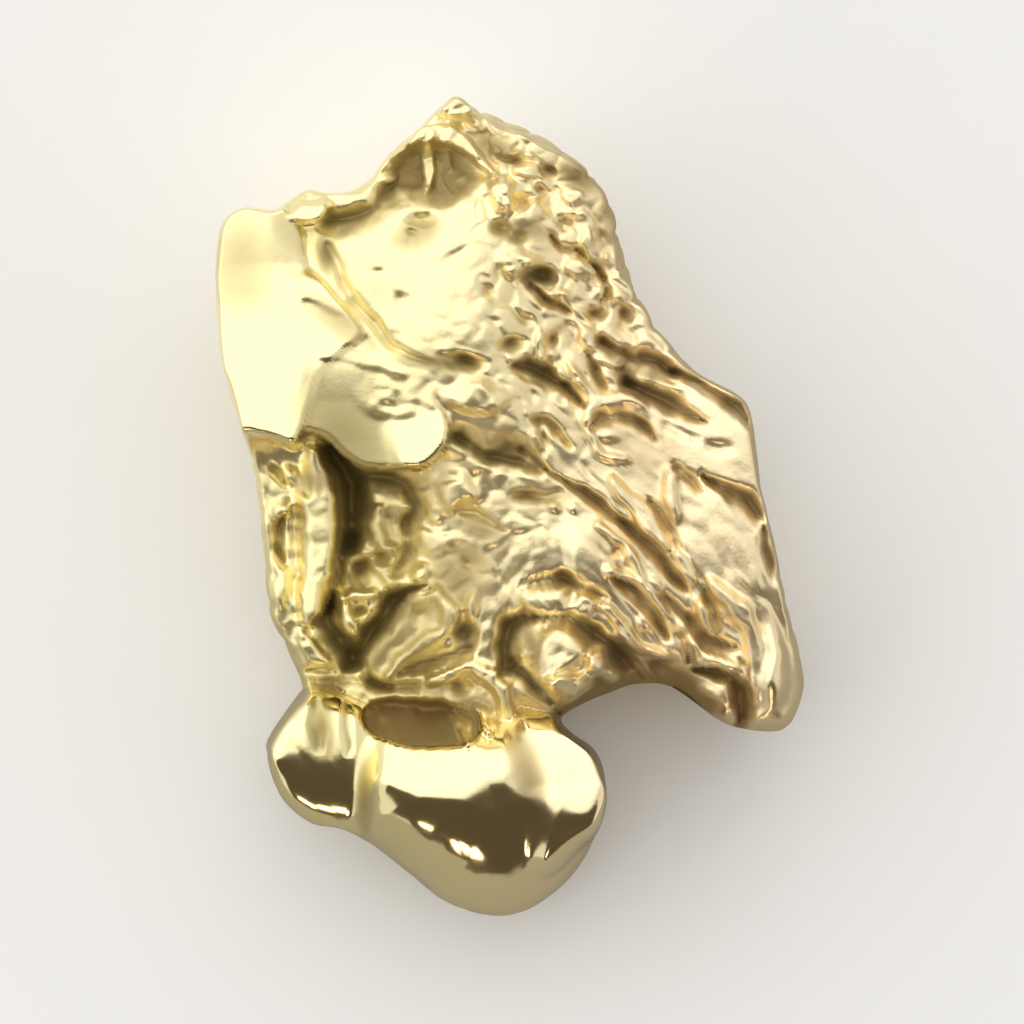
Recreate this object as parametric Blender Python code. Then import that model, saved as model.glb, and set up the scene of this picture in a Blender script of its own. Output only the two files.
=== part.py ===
"""A gold nugget lying on its back: one solid, worked out from its outline, lobes, lumps, pits and ridges."""

import bpy
import numpy as np

LENGTH = 20.0  # millimetres, top to bottom
DRAWN_LENGTH = 20.0  # the length at which the forms below are drawn
SCALE = 0.001 * LENGTH / DRAWN_LENGTH  # metres for each unit of the forms

# How finely the skin is laid out before it is thinned, and the triangles that are kept.
COLUMNS = 560  # round the edge
TOP_RINGS = 68  # edge to spine, on the upper side
BACK_RINGS = 34
KEPT_TRIANGLES = 9700
TOP_EDGE_RINGS = 0.16  # share of a side's rings that follow its rounded edge
BACK_EDGE_RINGS = 0.5
EDGE_SPAN = 0.1  # share of a spoke that those rings take

GOLD_COLOUR = (0.95, 0.78, 0.42, 1.0)
GOLD_ROUGHNESS = 0.3

# All the forms are in millimetres, measured from the middle of the floor under the nugget: x across,
# y along its length, z up.

# The edge seen from above, anticlockwise from the bottom of the lower lobe.
OUTLINE = (
    (-0.5, -10.0), (0.5, -9.8), (1.5, -9.0), (2.08, -8.0), (2.33, -7.0), (2.1, -6.0), (1.5, -5.5),
    (1.22, -5.2), (1.35, -4.98), (2.1, -4.6), (3.2, -4.27), (4.1, -4.4), (5.0, -5.1), (5.7, -5.38),
    (6.7, -5.36), (7.15, -4.5), (7.08, -3.6), (6.65, -2.1), (6.42, -0.9), (6.08, 0.5), (5.95, 1.5),
    (5.8, 2.4), (5.5, 2.83), (4.5, 3.4), (3.7, 4.25), (3.1, 5.2), (2.6, 6.75), (2.1, 7.85),
    (1.75, 8.35), (1.3, 8.72), (0.6, 9.12), (-0.1, 9.42), (-0.8, 9.73), (-1.35, 9.98), (-1.6, 9.9),
    (-2.2, 9.4), (-3.0, 8.72), (-3.45, 8.1), (-3.9, 7.75), (-4.5, 7.72), (-5.0, 7.77), (-5.5, 7.45),
    (-5.8, 7.3), (-6.5, 7.35), (-7.0, 7.0), (-7.17, 6.2), (-7.17, 5.0), (-7.0, 3.5), (-6.6, 2.0),
    (-6.25, 0.5), (-6.1, -1.0), (-5.93, -2.5), (-5.5, -3.5), (-5.22, -4.3), (-5.35, -4.6),
    (-5.98, -5.5), (-6.05, -6.0), (-5.75, -7.0), (-5.0, -7.7), (-4.2, -7.85), (-3.4, -8.3),
    (-2.5, -9.0), (-1.6, -9.7),
)

# Rows from the bottom up: a place on the right edge, the place on the left edge that it pairs with,
# and the point of the spine between them. Spokes run from the edge to the spine.
STATIONS = (
    ((-0.5, -10.0), (-0.5, -10.0), (-1.2, -7.6)),
    ((2.33, -7.0), (-4.2, -7.85), (-1.5, -6.9)),
    ((1.22, -5.2), (-6.05, -6.0), (-1.9, -5.7)),
    ((3.2, -4.27), (-5.22, -4.3), (-0.7, -3.7)),
    ((5.0, -5.1), (-5.8, -3.0), (0.6, -1.2)),
    ((7.15, -4.5), (-6.1, -1.0), (0.8, 0.0)),
    ((6.42, -0.9), (-6.4, 1.1), (0.5, 1.6)),
    ((5.8, 2.4), (-7.0, 3.5), (0.0, 3.2)),
    ((3.1, 5.2), (-7.17, 6.2), (-1.0, 5.2)),
    ((2.1, 7.85), (-5.8, 7.3), (-1.4, 6.6)),
    ((-1.35, 9.98), (-1.35, 9.98), (-1.7, 7.9)),
)

# The bulk: x, y, height of the upper side, height of the edge, and how far in the edge is rounded.
BODY_REACH = 1.0
BODY = (
    # peak and plateau
    (-1.5, 9.3, 5.9, 5.0, 0.16), (-2.6, 8.3, 5.9, 5.0, 0.16), (-2.8, 6.0, 7.0, 6.1, 0.16),
    (-1.2, 6.8, 6.9, 6.0, 0.16), (-1.4, 4.3, 7.3, 6.2, 0.16), (0.5, 8.2, 6.2, 5.3, 0.16),
    (0.5, 6.0, 6.7, 5.8, 0.16), (1.9, 7.2, 5.8, 4.9, 0.16), (2.4, 5.2, 5.8, 4.9, 0.16),
    # middle and right flank
    (-0.8, 2.6, 6.85, 5.4, 0.16), (1.0, 3.2, 6.2, 5.3, 0.16), (2.8, 2.0, 6.0, 5.2, 0.16),
    (3.8, 3.6, 5.8, 4.8, 0.16), (5.2, 2.2, 6.2, 5.2, 0.16), (5.6, 1.1, 6.2, 5.2, 0.14),
    (-1.2, 0.2, 5.95, 4.9, 0.16),
    (1.4, -1.1, 6.1, 5.1, 0.16), (3.2, 0.2, 5.9, 5.0, 0.16), (5.5, 0.0, 5.9, 4.9, 0.16),
    (5.9, -0.8, 6.2, 5.1, 0.14),
    (4.0, -1.8, 5.7, 4.6, 0.16), (5.8, -2.8, 5.6, 4.6, 0.16), (6.5, -4.6, 5.0, 3.4, 0.5),
    # above the notch
    (3.6, -3.7, 4.8, 3.4, 0.6), (1.2, -3.1, 5.3, 3.4, 0.5), (-1.0, -2.6, 5.5, 4.6, 0.16),
    (-0.6, -4.6, 4.5, 3.4, 0.5), (1.4, -4.4, 6.5, 3.4, 0.4),
    # left recess and neck
    (-3.0, -0.4, 4.6, 3.7, 0.16), (-4.4, -1.0, 4.3, 3.3, 0.16), (-5.4, 0.0, 4.7, 3.8, 0.16),
    (-5.5, -2.2, 4.4, 3.5, 0.16), (-3.0, -2.4, 4.9, 4.0, 0.16), (-2.6, -4.2, 4.0, 3.4, 0.16),
    (-4.8, -4.6, 4.0, 3.0, 0.4),
    # lower lobe, whose own form stands on its edge height
    (-5.0, -6.4, 3.2, 2.9, 0.1), (-3.0, -7.4, 3.2, 3.0, 0.1), (-0.8, -7.2, 3.2, 3.0, 0.1),
    (1.5, -6.6, 3.2, 3.0, 0.1), (-0.8, -9.4, 3.0, 3.0, 0.1), (1.7, -5.6, 3.2, 3.0, 0.1),
    # slab
    (-6.4, 4.0, 6.3, 6.0, 0.14), (-5.8, 7.0, 6.0, 5.8, 0.14), (-4.2, 5.2, 6.7, 6.0, 0.16),
    (-3.2, 3.9, 6.8, 6.0, 0.16), (-7.0, 5.6, 6.2, 6.0, 0.14),
)

# The back: x, y, height above the floor before it is worn flat. Below 0 it rests on the floor.
BACK_REACH = 1.1
BACK_ROUNDING = 2.4
BACK = (
    (-1.5, 8.6, 1.0), (1.2, 7.0, 0.5), (-2.6, 5.2, -0.7), (-5.6, 5.0, 0.9), (-5.4, 2.2, 0.7),
    (0.6, 4.0, -0.5), (-1.5, 2.2, 0.5), (3.4, 2.4, 0.3), (1.2, 0.6, 0.6), (-3.6, -0.4, 0.6),
    (4.6, -1.6, -0.6), (2.2, -2.0, 0.3), (6.0, -3.8, 0.6), (-0.6, -2.6, 0.5), (-3.4, -3.2, 0.9),
    (-3.4, -5.2, 1.1), (-1.2, -7.2, -0.7), (-4.8, -6.4, 0.8), (1.4, -6.6, 0.6),
)

# The folded slab and the knuckle under it: outline, then the width and drop of the soft shoulder and
# of the steep wall below it.
SLAB = (
    ((-7.8, 7.5), (-6.4, 8.0), (-5.5, 7.5), (-5.1, 6.9), (-4.95, 6.2), (-4.4, 5.5), (-3.9, 4.9),
     (-3.6, 4.3), (-4.3, 3.7), (-4.68, 3.2), (-4.85, 2.6), (-5.05, 1.85), (-5.3, 1.55), (-5.8, 1.7),
     (-6.4, 1.85), (-7.8, 2.1)),
    (0.35, 0.08), (0.16, 1.6),
)
KNUCKLE = (
    ((-5.2, 3.9), (-4.4, 4.3), (-3.4, 4.3), (-2.75, 3.85), (-2.2, 3.2), (-1.75, 2.7), (-1.5, 2.2),
     (-1.55, 1.6), (-2.1, 1.05), (-2.7, 0.98), (-3.6, 1.0), (-4.1, 1.3), (-4.6, 1.75),
     (-5.25, 2.0), (-5.5, 2.8)),
    (0.3, 0.05), (0.15, 2.4),
)
SLAB_HEIGHT = 6.88
SLAB_LEAN = 0.06  # how much the slab rises towards +x
SLAB_BEND = (4.5, 0.16, 0.25)  # below this y the slab rises at this rate, past a bend this soft
SLAB_CORNER = ((-7.2, 0.1), (-5.95, 0.2))  # past these x its upper end falls away at these rates
SLAB_UPPER_END = (5.5, 6.1)  # the corner starts between these y
KNUCKLE_HEIGHT = 6.63
KNUCKLE_CREASE = ((-3.2, 3.5), (-3.3, 2.7), (-3.05, 1.7), (-2.8, 1.0))
KNUCKLE_SIDES = (0.26, 0.20)  # how steeply it rises left and right of its crease
KNUCKLE_TOP = (3.5, 0.4)  # above this y it falls away at this rate
KNUCKLE_LEAN = (0.1, -0.14)  # how much its left and right facets rise towards +y

# Round lobes: outline, crown line, height of the edge and of the crown, and how square the side is.
BEAN = (
    ((-3.6, -4.75), (-3.2, -4.6), (-2.6, -4.6), (-1.7, -4.65), (-1.0, -4.6), (-0.4, -4.7),
     (0.3, -4.8), (0.9, -4.95), (1.4, -5.25), (1.8, -5.62), (2.15, -6.1), (2.33, -7.0), (2.08, -8.0),
     (1.5, -9.0), (0.5, -9.8), (-0.5, -10.0), (-1.6, -9.7), (-2.5, -9.0), (-3.4, -8.3),
     (-4.0, -7.9), (-4.0, -6.8)),
    ((-3.0, -6.55), (-2.2, -6.82), (-1.2, -6.85), (-0.6, -6.5), (-0.2, -6.45)), 3.0, 6.2, 1.85,
)
KNOB = (
    ((0.0, -4.85), (0.7, -4.9), (1.25, -5.1), (1.9, -5.5), (2.3, -6.1), (2.48, -7.0), (2.25, -7.75),
     (1.65, -8.35), (1.15, -8.85), (0.7, -9.0), (0.3, -8.6), (0.1, -7.8), (-0.1, -6.5)),
    ((1.35, -5.6), (1.9, -6.1), (2.1, -6.6), (1.75, -7.25)), 3.0, 6.05, 3.2,
)
BALL = (
    ((-5.0, -4.3), (-4.2, -4.5), (-3.2, -5.1), (-2.7, -6.4), (-2.9, -7.6), (-3.8, -8.0),
     (-5.0, -7.72), (-5.75, -7.02), (-6.07, -6.0), (-5.98, -5.5), (-5.35, -4.55)),
    ((-5.7, -6.0), (-5.45, -5.5), (-4.8, -5.45), (-4.2, -5.4)), 3.4, 5.3, 2.8,
)
TOE = (
    ((5.6, -1.7), (6.45, -1.4), (6.75, -2.1), (7.1, -3.6), (7.17, -4.5), (6.75, -5.36), (5.95, -5.4),
     (5.75, -4.7), (5.7, -3.6), (5.6, -2.6)),
    ((6.2, -2.4), (6.5, -3.5), (6.35, -4.2)), 3.6, 5.75, 1.8,
)

LOBE_BLEND = 0.32  # how softly the two lower lobes run together
LOBE_FALL = 0.045  # how fast a lobe's crown falls away from its middle, with the square of the distance

# Hollow under the peak, and the bowl above the lower lobe.
TOP_HOLLOW = (
    (-3.7, 7.6), (-3.3, 8.3), (-3.0, 8.7), (-2.6, 9.0), (-2.1, 9.1), (-1.6, 9.05), (-1.2, 8.85),
    (-0.75, 8.45), (-0.6, 8.1), (-0.9, 7.7), (-1.5, 7.4), (-2.2, 7.5), (-2.75, 7.55), (-3.2, 7.15),
    (-3.6, 6.9), (-4.1, 6.72), (-4.5, 6.85), (-4.85, 7.05), (-4.6, 7.4),
)
TOP_HOLLOW_DEPTH = (0.35, 0.48)  # on its right and on its left
BOWL = (-2.25, -5.2, 1.5, 0.6, -6)
BOWL_DEPTH = 1.2

# Lumps: x, y, half length, half width, turn in degrees, height.
LUMPS = (
    # peak and upper right
    (-1.4, 9.9, 0.5, 0.3, -20, 0.35), (-3.05, 8.15, 0.25, 0.15, 10, 0.2), (-0.3, 8.92, 0.2, 0.15, 0, 0.12),
    (0.15, 8.92, 0.2, 0.13, 0, 0.12), (-0.3, 7.78, 0.3, 0.45, 0, 0.3), (0.5, 8.35, 0.42, 0.16, -10, 0.14),
    (1.45, 7.8, 0.35, 0.24, -30, 0.2), (1.6, 7.42, 0.32, 0.13, 0, 0.14), (0.5, 7.35, 0.42, 0.28, 10, 0.2),
    (1.92, 6.76, 0.18, 0.3, 0, 0.2), (0.2, 6.1, 0.5, 0.33, 0, 0.3), (1.75, 6.05, 0.45, 0.26, -10, 0.24),
    (1.2, 5.38, 0.36, 0.14, 0, 0.18), (2.6, 5.25, 0.28, 0.16, -25, 0.16), (0.7, 4.1, 0.13, 0.5, 0, 0.2),
    (1.8, 4.25, 0.22, 0.4, 0, 0.2), (1.62, 3.3, 0.5, 0.15, -52, 0.26), (2.5, 3.72, 0.35, 0.15, -15, 0.14),
    (3.25, 3.32, 0.25, 0.2, 0, 0.16), (-5.05, 7.45, 0.6, 0.32, 5, 0.6),
    # middle
    (-0.8, 2.8, 0.75, 0.38, 0, 0.32), (0.6, 1.75, 0.18, 0.28, 15, 0.22), (1.0, 0.12, 0.16, 0.14, 0, 0.12),
    (1.5, 0.1, 0.18, 0.14, 0, 0.12), (2.4, 1.95, 0.4, 0.2, 0, 0.12), (-1.4, 0.5, 0.5, 0.5, -20, 0.32),
    (-1.9, -0.05, 0.2, 0.2, 0, 0.12), (1.85, -1.3, 0.55, 1.0, 22, 0.2), (0.85, -2.2, 0.75, 0.36, -5, 0.3),
    (1.82, -2.3, 0.36, 0.4, 0, 0.26), (-0.97, -2.3, 0.13, 0.35, 0, 0.18), (-2.3, -1.55, 0.26, 0.22, 0, 0.2),
    (-2.0, -0.75, 0.45, 0.35, 0, 0.14),
    # hollow above the notch
    (1.1, -3.5, 0.68, 0.85, -25, 0.5), (0.3, -3.5, 0.2, 0.2, 0, 0.2), (2.1, -3.65, 0.32, 0.34, 0, 0.42),
    (1.35, -4.4, 0.56, 0.5, 30, 0.5),
    # left wall, flow lines and toe
    (-5.5, 0.88, 0.22, 0.25, 20, 0.2), (-5.7, 0.05, 0.3, 0.26, 20, 0.24), (-5.75, -1.9, 0.2, 0.6, 0, 0.2),
    (4.15, -2.8, 0.18, 0.25, 0, 0.14), (3.3, -2.7, 0.25, 0.22, 0, 0.12), (4.75, -4.45, 0.2, 0.15, 0, 0.08),
    (5.4, -5.1, 0.2, 0.25, 20, 0.22), (5.15, -2.55, 0.18, 0.14, 0, 0.12), (3.5, -1.8, 0.3, 0.2, -30, 0.16),
)

# Pits: x, y, half length, half width, turn in degrees, depth.
PITS = (
    # upper right
    (0.2, 8.7, 0.45, 0.13, -5, 0.32), (0.9, 8.38, 0.24, 0.15, -40, 0.32), (0.72, 7.88, 0.26, 0.17, -15, 0.35),
    (0.2, 7.62, 0.22, 0.2, 0, 0.27), (-0.3, 6.95, 0.3, 0.22, 0, 0.32), (0.15, 6.72, 0.3, 0.2, 0, 0.3),
    (1.4, 7.15, 0.36, 0.1, -5, 0.27), (0.7, 5.8, 0.55, 0.26, -8, 0.68), (2.0, 4.82, 0.26, 0.2, 0, 0.46),
    (2.75, 4.78, 0.25, 0.28, 20, 0.46), (-0.05, 4.05, 0.38, 0.24, 10, 0.45),
    (1.03, 4.18, 0.11, 0.22, 0, 0.27),
    (1.3, 6.95, 0.16, 0.1, 0, 0.19), (0.35, 4.75, 0.3, 0.14, 0, 0.14), (-2.2, 7.2, 0.4, 0.2, 0, 0.22),
    (-2.45, 6.85, 0.2, 0.12, -30, 0.16),
    # plateau
    (-0.55, 5.4, 0.2, 0.2, 0, 0.19), (-2.7, 5.2, 0.22, 0.22, 0, 0.09), (-0.5, 4.7, 0.3, 0.13, 0, 0.08),
    (-3.3, 5.9, 0.2, 0.15, 0, 0.07), (-1.4, 6.3, 0.5, 0.12, 25, 0.07),
    # middle
    (-1.15, 3.68, 0.6, 0.24, -5, 0.54), (0.0, 1.4, 0.75, 0.5, -10, 0.5),
    (-1.2, 1.8, 0.5, 0.3, -10, 0.32), (0.85, 1.75, 0.35, 0.12, -60, 0.25),
    (5.1, 1.6, 0.32, 0.18, -10, 0.14), (0.35, 0.3, 0.38, 0.15, 0, 0.22), (2.6, -0.95, 0.2, 0.2, -40, 0.3),
    (-1.0, -1.35, 0.4, 0.4, 0, 0.19),
    # left recess and neck
    (-3.25, -1.12, 0.28, 0.16, 0, 0.38), (-3.65, -1.5, 0.3, 0.38, 0, 0.6),
    (-3.7, -2.45, 0.22, 0.18, 0, 0.4), (-1.2, -3.15, 0.34, 0.5, 0, 0.55), (-1.3, -4.4, 0.32, 0.26, 0, 0.43),
    (-2.2, -2.6, 0.3, 0.25, 0, 0.22),
)

# Ridges: height, and a path of x, y and half width.
RIDGES = (
    # peak and oval pit
    (0.5, ((-2.5, 9.2, 0.2), (-1.9, 9.4, 0.26), (-1.5, 9.3, 0.22), (-1.1, 9.0, 0.2), (-0.75, 8.65, 0.16),
           (-0.45, 8.3, 0.12))),
    (0.3, ((-2.05, 9.0, 0.15), (-2.0, 8.4, 0.2), (-2.1, 7.9, 0.15))),
    (0.16, ((1.9, 2.5, 0.14), (2.15, 2.78, 0.18), (2.7, 2.82, 0.18), (3.2, 2.6, 0.12))),
    (0.22, ((1.85, 2.3, 0.14), (1.93, 1.8, 0.16), (2.25, 1.42, 0.16), (2.8, 1.3, 0.12))),
    # flow lines
    (0.3, ((2.45, 0.75, 0.1), (2.95, 0.25, 0.22), (3.35, -0.3, 0.24), (3.75, -0.82, 0.12))),
    (0.26, ((3.85, 0.95, 0.14), (3.85, 0.4, 0.2), (3.95, -0.05, 0.12))),
    (0.22, ((4.0, -0.95, 0.08), (4.25, -1.25, 0.15), (4.5, -1.7, 0.08))),
    (0.08, ((5.0, 0.35, 0.15), (5.35, -0.4, 0.35), (5.7, -1.2, 0.35), (5.95, -1.8, 0.15))),
    (0.32, ((4.85, -1.7, 0.12), (5.25, -2.1, 0.22), (5.65, -2.5, 0.28), (5.95, -3.1, 0.28),
            (6.05, -3.7, 0.22),
            (6.02, -4.3, 0.2), (5.95, -4.7, 0.1))),
    (0.28, ((4.55, -2.25, 0.1), (4.75, -2.6, 0.18), (4.92, -2.95, 0.1))),
    (0.22, ((4.35, -3.15, 0.12), (4.6, -3.6, 0.2), (5.1, -3.75, 0.18), (5.5, -3.75, 0.12))),
    (0.22, ((2.1, -0.3, 0.1), (2.5, -0.7, 0.14), (3.0, -1.25, 0.15), (3.15, -1.65, 0.1))),
    (0.22, ((2.35, -1.5, 0.15), (2.9, -1.68, 0.13), (3.4, -2.05, 0.13), (3.75, -2.5, 0.08))),
    (0.32, ((2.3, -2.4, 0.16), (2.65, -2.8, 0.19), (3.05, -3.2, 0.16), (3.8, -3.6, 0.1))),
    # left wall, recess and neck
    (0.6, ((-4.95, 1.5, 0.2), (-4.78, 0.6, 0.48), (-4.65, -0.3, 0.58), (-4.78, -1.3, 0.52),
           (-4.9, -2.2, 0.4), (-5.05, -2.7, 0.2))),
    (0.32, ((-3.35, 0.05, 0.12), (-3.45, -0.4, 0.2), (-3.3, -0.8, 0.2), (-3.05, -0.95, 0.15))),
    (0.22, ((-3.4, -1.35, 0.12), (-3.1, -1.5, 0.2), (-2.95, -1.8, 0.12))),
    (0.32, ((-4.15, -2.0, 0.12), (-3.8, -2.02, 0.15), (-3.4, -2.0, 0.12))),
    (0.38, ((-4.12, -2.1, 0.12), (-4.05, -2.6, 0.18), (-4.0, -3.0, 0.15))),
    (0.36, ((-2.45, -2.15, 0.15), (-1.9, -1.98, 0.18), (-1.55, -2.4, 0.2), (-1.65, -2.85, 0.18),
            (-2.2, -3.15, 0.22), (-2.6, -3.5, 0.22), (-3.05, -3.95, 0.2))),
    (0.35, ((-2.0, -4.2, 0.15), (-1.5, -4.05, 0.2), (-0.95, -3.75, 0.22), (-0.5, -4.05, 0.24),
            (-0.22, -4.6, 0.24), (-0.05, -5.2, 0.2))),
    (0.25, ((-5.2, -3.1, 0.15), (-4.9, -3.5, 0.2), (-4.55, -3.75, 0.12))),
)

# Grooves: depth, and a path of x, y and half width.
GROOVES = (
    # the fold beside the slab, and the upper right
    (0.17, ((-4.5, 6.5, 0.16), (-4.2, 5.7, 0.18), (-3.8, 5.05, 0.2), (-3.4, 4.6, 0.18),
           (-3.0, 4.05, 0.16), (-2.5, 3.75, 0.14), (-2.0, 3.6, 0.1))),
    (0.42, ((1.0, 6.7, 0.1), (1.25, 6.45, 0.18), (1.7, 6.45, 0.12), (2.05, 6.2, 0.14), (2.3, 5.9, 0.15),
            (2.3, 5.5, 0.12), (2.25, 5.15, 0.12))),
    (0.42, ((0.5, 5.55, 0.12), (0.75, 5.3, 0.14), (1.1, 5.05, 0.14), (1.4, 4.9, 0.12))),
    (0.59, ((0.0, 3.55, 0.12), (0.35, 3.5, 0.26), (0.85, 3.35, 0.26), (1.3, 3.1, 0.18), (1.75, 2.65, 0.12))),
    (0.33, ((1.85, 3.85, 0.06), (2.1, 3.4, 0.16), (2.3, 3.1, 0.12))),
    (0.5, ((2.2, 4.2, 0.16), (2.55, 3.95, 0.24), (3.0, 3.7, 0.3), (3.5, 3.65, 0.26), (4.0, 3.35, 0.2))),
    (0.4, ((2.75, 3.5, 0.25), (2.95, 3.15, 0.25))),
    (0.6, ((2.9, 3.1, 0.2), (3.4, 2.85, 0.3), (3.95, 2.6, 0.32), (4.35, 2.35, 0.26), (4.7, 2.2, 0.12))),
    # middle
    (0.44, ((1.95, 2.1, 0.12), (2.2, 2.32, 0.2), (2.65, 2.35, 0.24), (3.1, 2.15, 0.2), (3.35, 1.95, 0.14),
            (3.6, 1.75, 0.08))),
    (0.34, ((0.5, 2.2, 0.1), (0.9, 2.15, 0.15), (1.2, 1.85, 0.13), (1.38, 1.55, 0.08))),
    (0.4, ((-1.4, 1.75, 0.15), (-0.8, 1.45, 0.24), (-0.1, 1.15, 0.26), (0.6, 0.92, 0.18))),
    (0.34, ((0.3, 1.45, 0.15), (0.55, 1.2, 0.18), (0.8, 0.95, 0.12))),
    (0.45, ((4.0, 3.45, 0.1), (4.6, 3.15, 0.18), (5.2, 2.8, 0.24), (5.6, 2.45, 0.26), (5.85, 2.1, 0.1))),
    (0.16, ((3.75, 2.1, 0.12), (4.2, 1.95, 0.2), (4.6, 1.8, 0.1))),
    (0.31, ((4.0, 1.1, 0.1), (4.35, 0.8, 0.2), (4.6, 0.5, 0.12))),
    (0.55, ((4.7, 0.92, 0.08), (5.1, 0.62, 0.16), (5.5, 0.34, 0.26), (5.85, 0.12, 0.3), (6.1, -0.2, 0.22))),
    (0.26, ((-1.2, 0.0, 0.15), (-0.8, -0.15, 0.2), (-0.2, -0.5, 0.1))),
    # flow lines
    (0.5, ((0.85, 0.88, 0.08), (1.3, 0.68, 0.12), (1.8, 0.45, 0.16), (2.25, 0.12, 0.17), (2.7, -0.3, 0.17),
            (3.1, -0.7, 0.18), (3.5, -1.05, 0.26), (3.82, -1.32, 0.25), (4.12, -1.68, 0.17),
            (4.37, -1.98, 0.08))),
    (0.26, ((0.1, 0.38, 0.12), (0.7, 0.3, 0.18), (1.2, 0.45, 0.1))),
    (0.29, ((3.4, 0.25, 0.06), (3.7, -0.15, 0.12), (3.9, -0.5, 0.1), (4.05, -0.85, 0.06))),
    (0.47, ((2.5, -1.75, 0.12), (2.9, -1.95, 0.24), (3.25, -2.3, 0.2), (3.6, -2.7, 0.14),
            (3.75, -3.1, 0.12))),
    (0.47, ((3.75, -2.05, 0.1), (4.15, -2.45, 0.16), (4.5, -2.85, 0.18), (4.85, -3.15, 0.26),
            (5.3, -3.3, 0.2), (5.6, -3.35, 0.1))),
    (0.31, ((4.75, -1.95, 0.06), (4.8, -2.25, 0.12), (5.05, -2.8, 0.14), (5.1, -3.0, 0.1))),
    (0.34, ((4.1, -3.0, 0.15), (4.3, -3.4, 0.15), (4.4, -3.8, 0.12))),
    (0.72, ((4.6, -4.0, 0.12), (5.0, -4.0, 0.18), (5.45, -4.15, 0.2), (5.65, -4.55, 0.3),
            (5.7, -5.0, 0.32), (5.7, -5.4, 0.25))),
    (0.39, ((6.25, -0.5, 0.1), (6.35, -1.0, 0.25), (6.45, -1.6, 0.15))),
    # above the notch
    (0.75, ((1.25, -5.15, 0.35), (2.2, -4.6, 0.6), (3.2, -4.27, 1.0), (4.1, -4.4, 0.9), (4.8, -4.9, 0.4))),
    (0.62, ((-0.25, -4.0, 0.2), (-0.2, -3.4, 0.32), (-0.05, -2.95, 0.35), (0.35, -2.75, 0.2),
           (0.95, -2.62, 0.15), (1.45, -2.75, 0.2), (1.85, -3.05, 0.26), (2.3, -3.4, 0.3),
           (2.8, -3.75, 0.35))),
    (0.6, ((0.0, -3.9, 0.2), (0.4, -4.15, 0.24), (0.75, -4.5, 0.24), (1.0, -4.85, 0.2))),
    (0.5, ((0.3, -1.88, 0.1), (0.8, -1.72, 0.2), (1.2, -1.68, 0.24), (1.7, -1.95, 0.16), (2.3, -2.2, 0.08))),
    (0.26, ((1.1, -3.95, 0.08), (1.35, -3.95, 0.12), (1.65, -3.95, 0.08))),
    (0.2, ((0.3, -4.8, 0.2), (0.8, -5.05, 0.25), (1.2, -5.15, 0.15))),
    # left recess, wall and neck
    (1.1, ((-4.5, 1.5, 0.25), (-4.15, 0.95, 0.42), (-3.95, 0.2, 0.45), (-3.95, -0.5, 0.42),
           (-4.0, -0.9, 0.3))),
    (0.62, ((-4.05, -0.8, 0.35), (-4.2, -1.3, 0.4), (-4.4, -1.8, 0.3), (-4.45, -2.4, 0.26))),
    (0.8, ((-4.45, -2.4, 0.2), (-4.55, -2.85, 0.34), (-4.3, -3.3, 0.38), (-4.0, -3.7, 0.3))),
    (0.5, ((-3.8, 0.8, 0.35), (-3.2, 0.72, 0.38), (-2.6, 0.6, 0.36), (-2.4, 0.1, 0.25), (-2.6, -0.3, 0.22))),
    (0.4, ((-2.6, -0.6, 0.2), (-2.6, -1.1, 0.24), (-2.8, -1.5, 0.2))),
    (0.9, ((-2.1, -1.9, 0.1), (-2.6, -2.08, 0.24), (-3.1, -2.45, 0.34), (-3.35, -2.9, 0.38),
           (-3.65, -3.4, 0.36), (-3.95, -3.95, 0.25))),
    (0.22, ((-5.4, 0.0, 0.1), (-5.32, -1.0, 0.15), (-5.3, -2.0, 0.16), (-5.05, -3.0, 0.14))),
    (0.3, ((-5.1, 1.5, 0.1), (-5.15, 1.0, 0.12), (-5.1, 0.5, 0.12))),
    (0.4, ((-3.7, -3.9, 0.2), (-3.4, -4.3, 0.24), (-3.0, -4.5, 0.18))),
    (0.34, ((-5.95, 1.1, 0.1), (-5.75, 0.9, 0.18), (-5.6, 0.6, 0.08))),
    (0.39, ((-5.65, -0.1, 0.08), (-5.75, -0.5, 0.18), (-5.75, -0.9, 0.2), (-5.7, -1.25, 0.1))),
    (0.5, ((-2.8, -4.05, 0.2), (-2.3, -3.85, 0.26), (-1.7, -3.7, 0.22), (-1.1, -3.45, 0.16))),
    (0.34, ((-4.9, -4.15, 0.12), (-4.2, -4.25, 0.18), (-3.3, -4.35, 0.2), (-2.4, -4.4, 0.18))),
    (0.34, ((-5.0, -3.95, 0.1), (-4.6, -3.9, 0.15), (-4.3, -4.0, 0.1))),
    (0.29, ((-4.35, -4.4, 0.12), (-4.2, -4.75, 0.16), (-4.15, -5.0, 0.1))),
)

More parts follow.
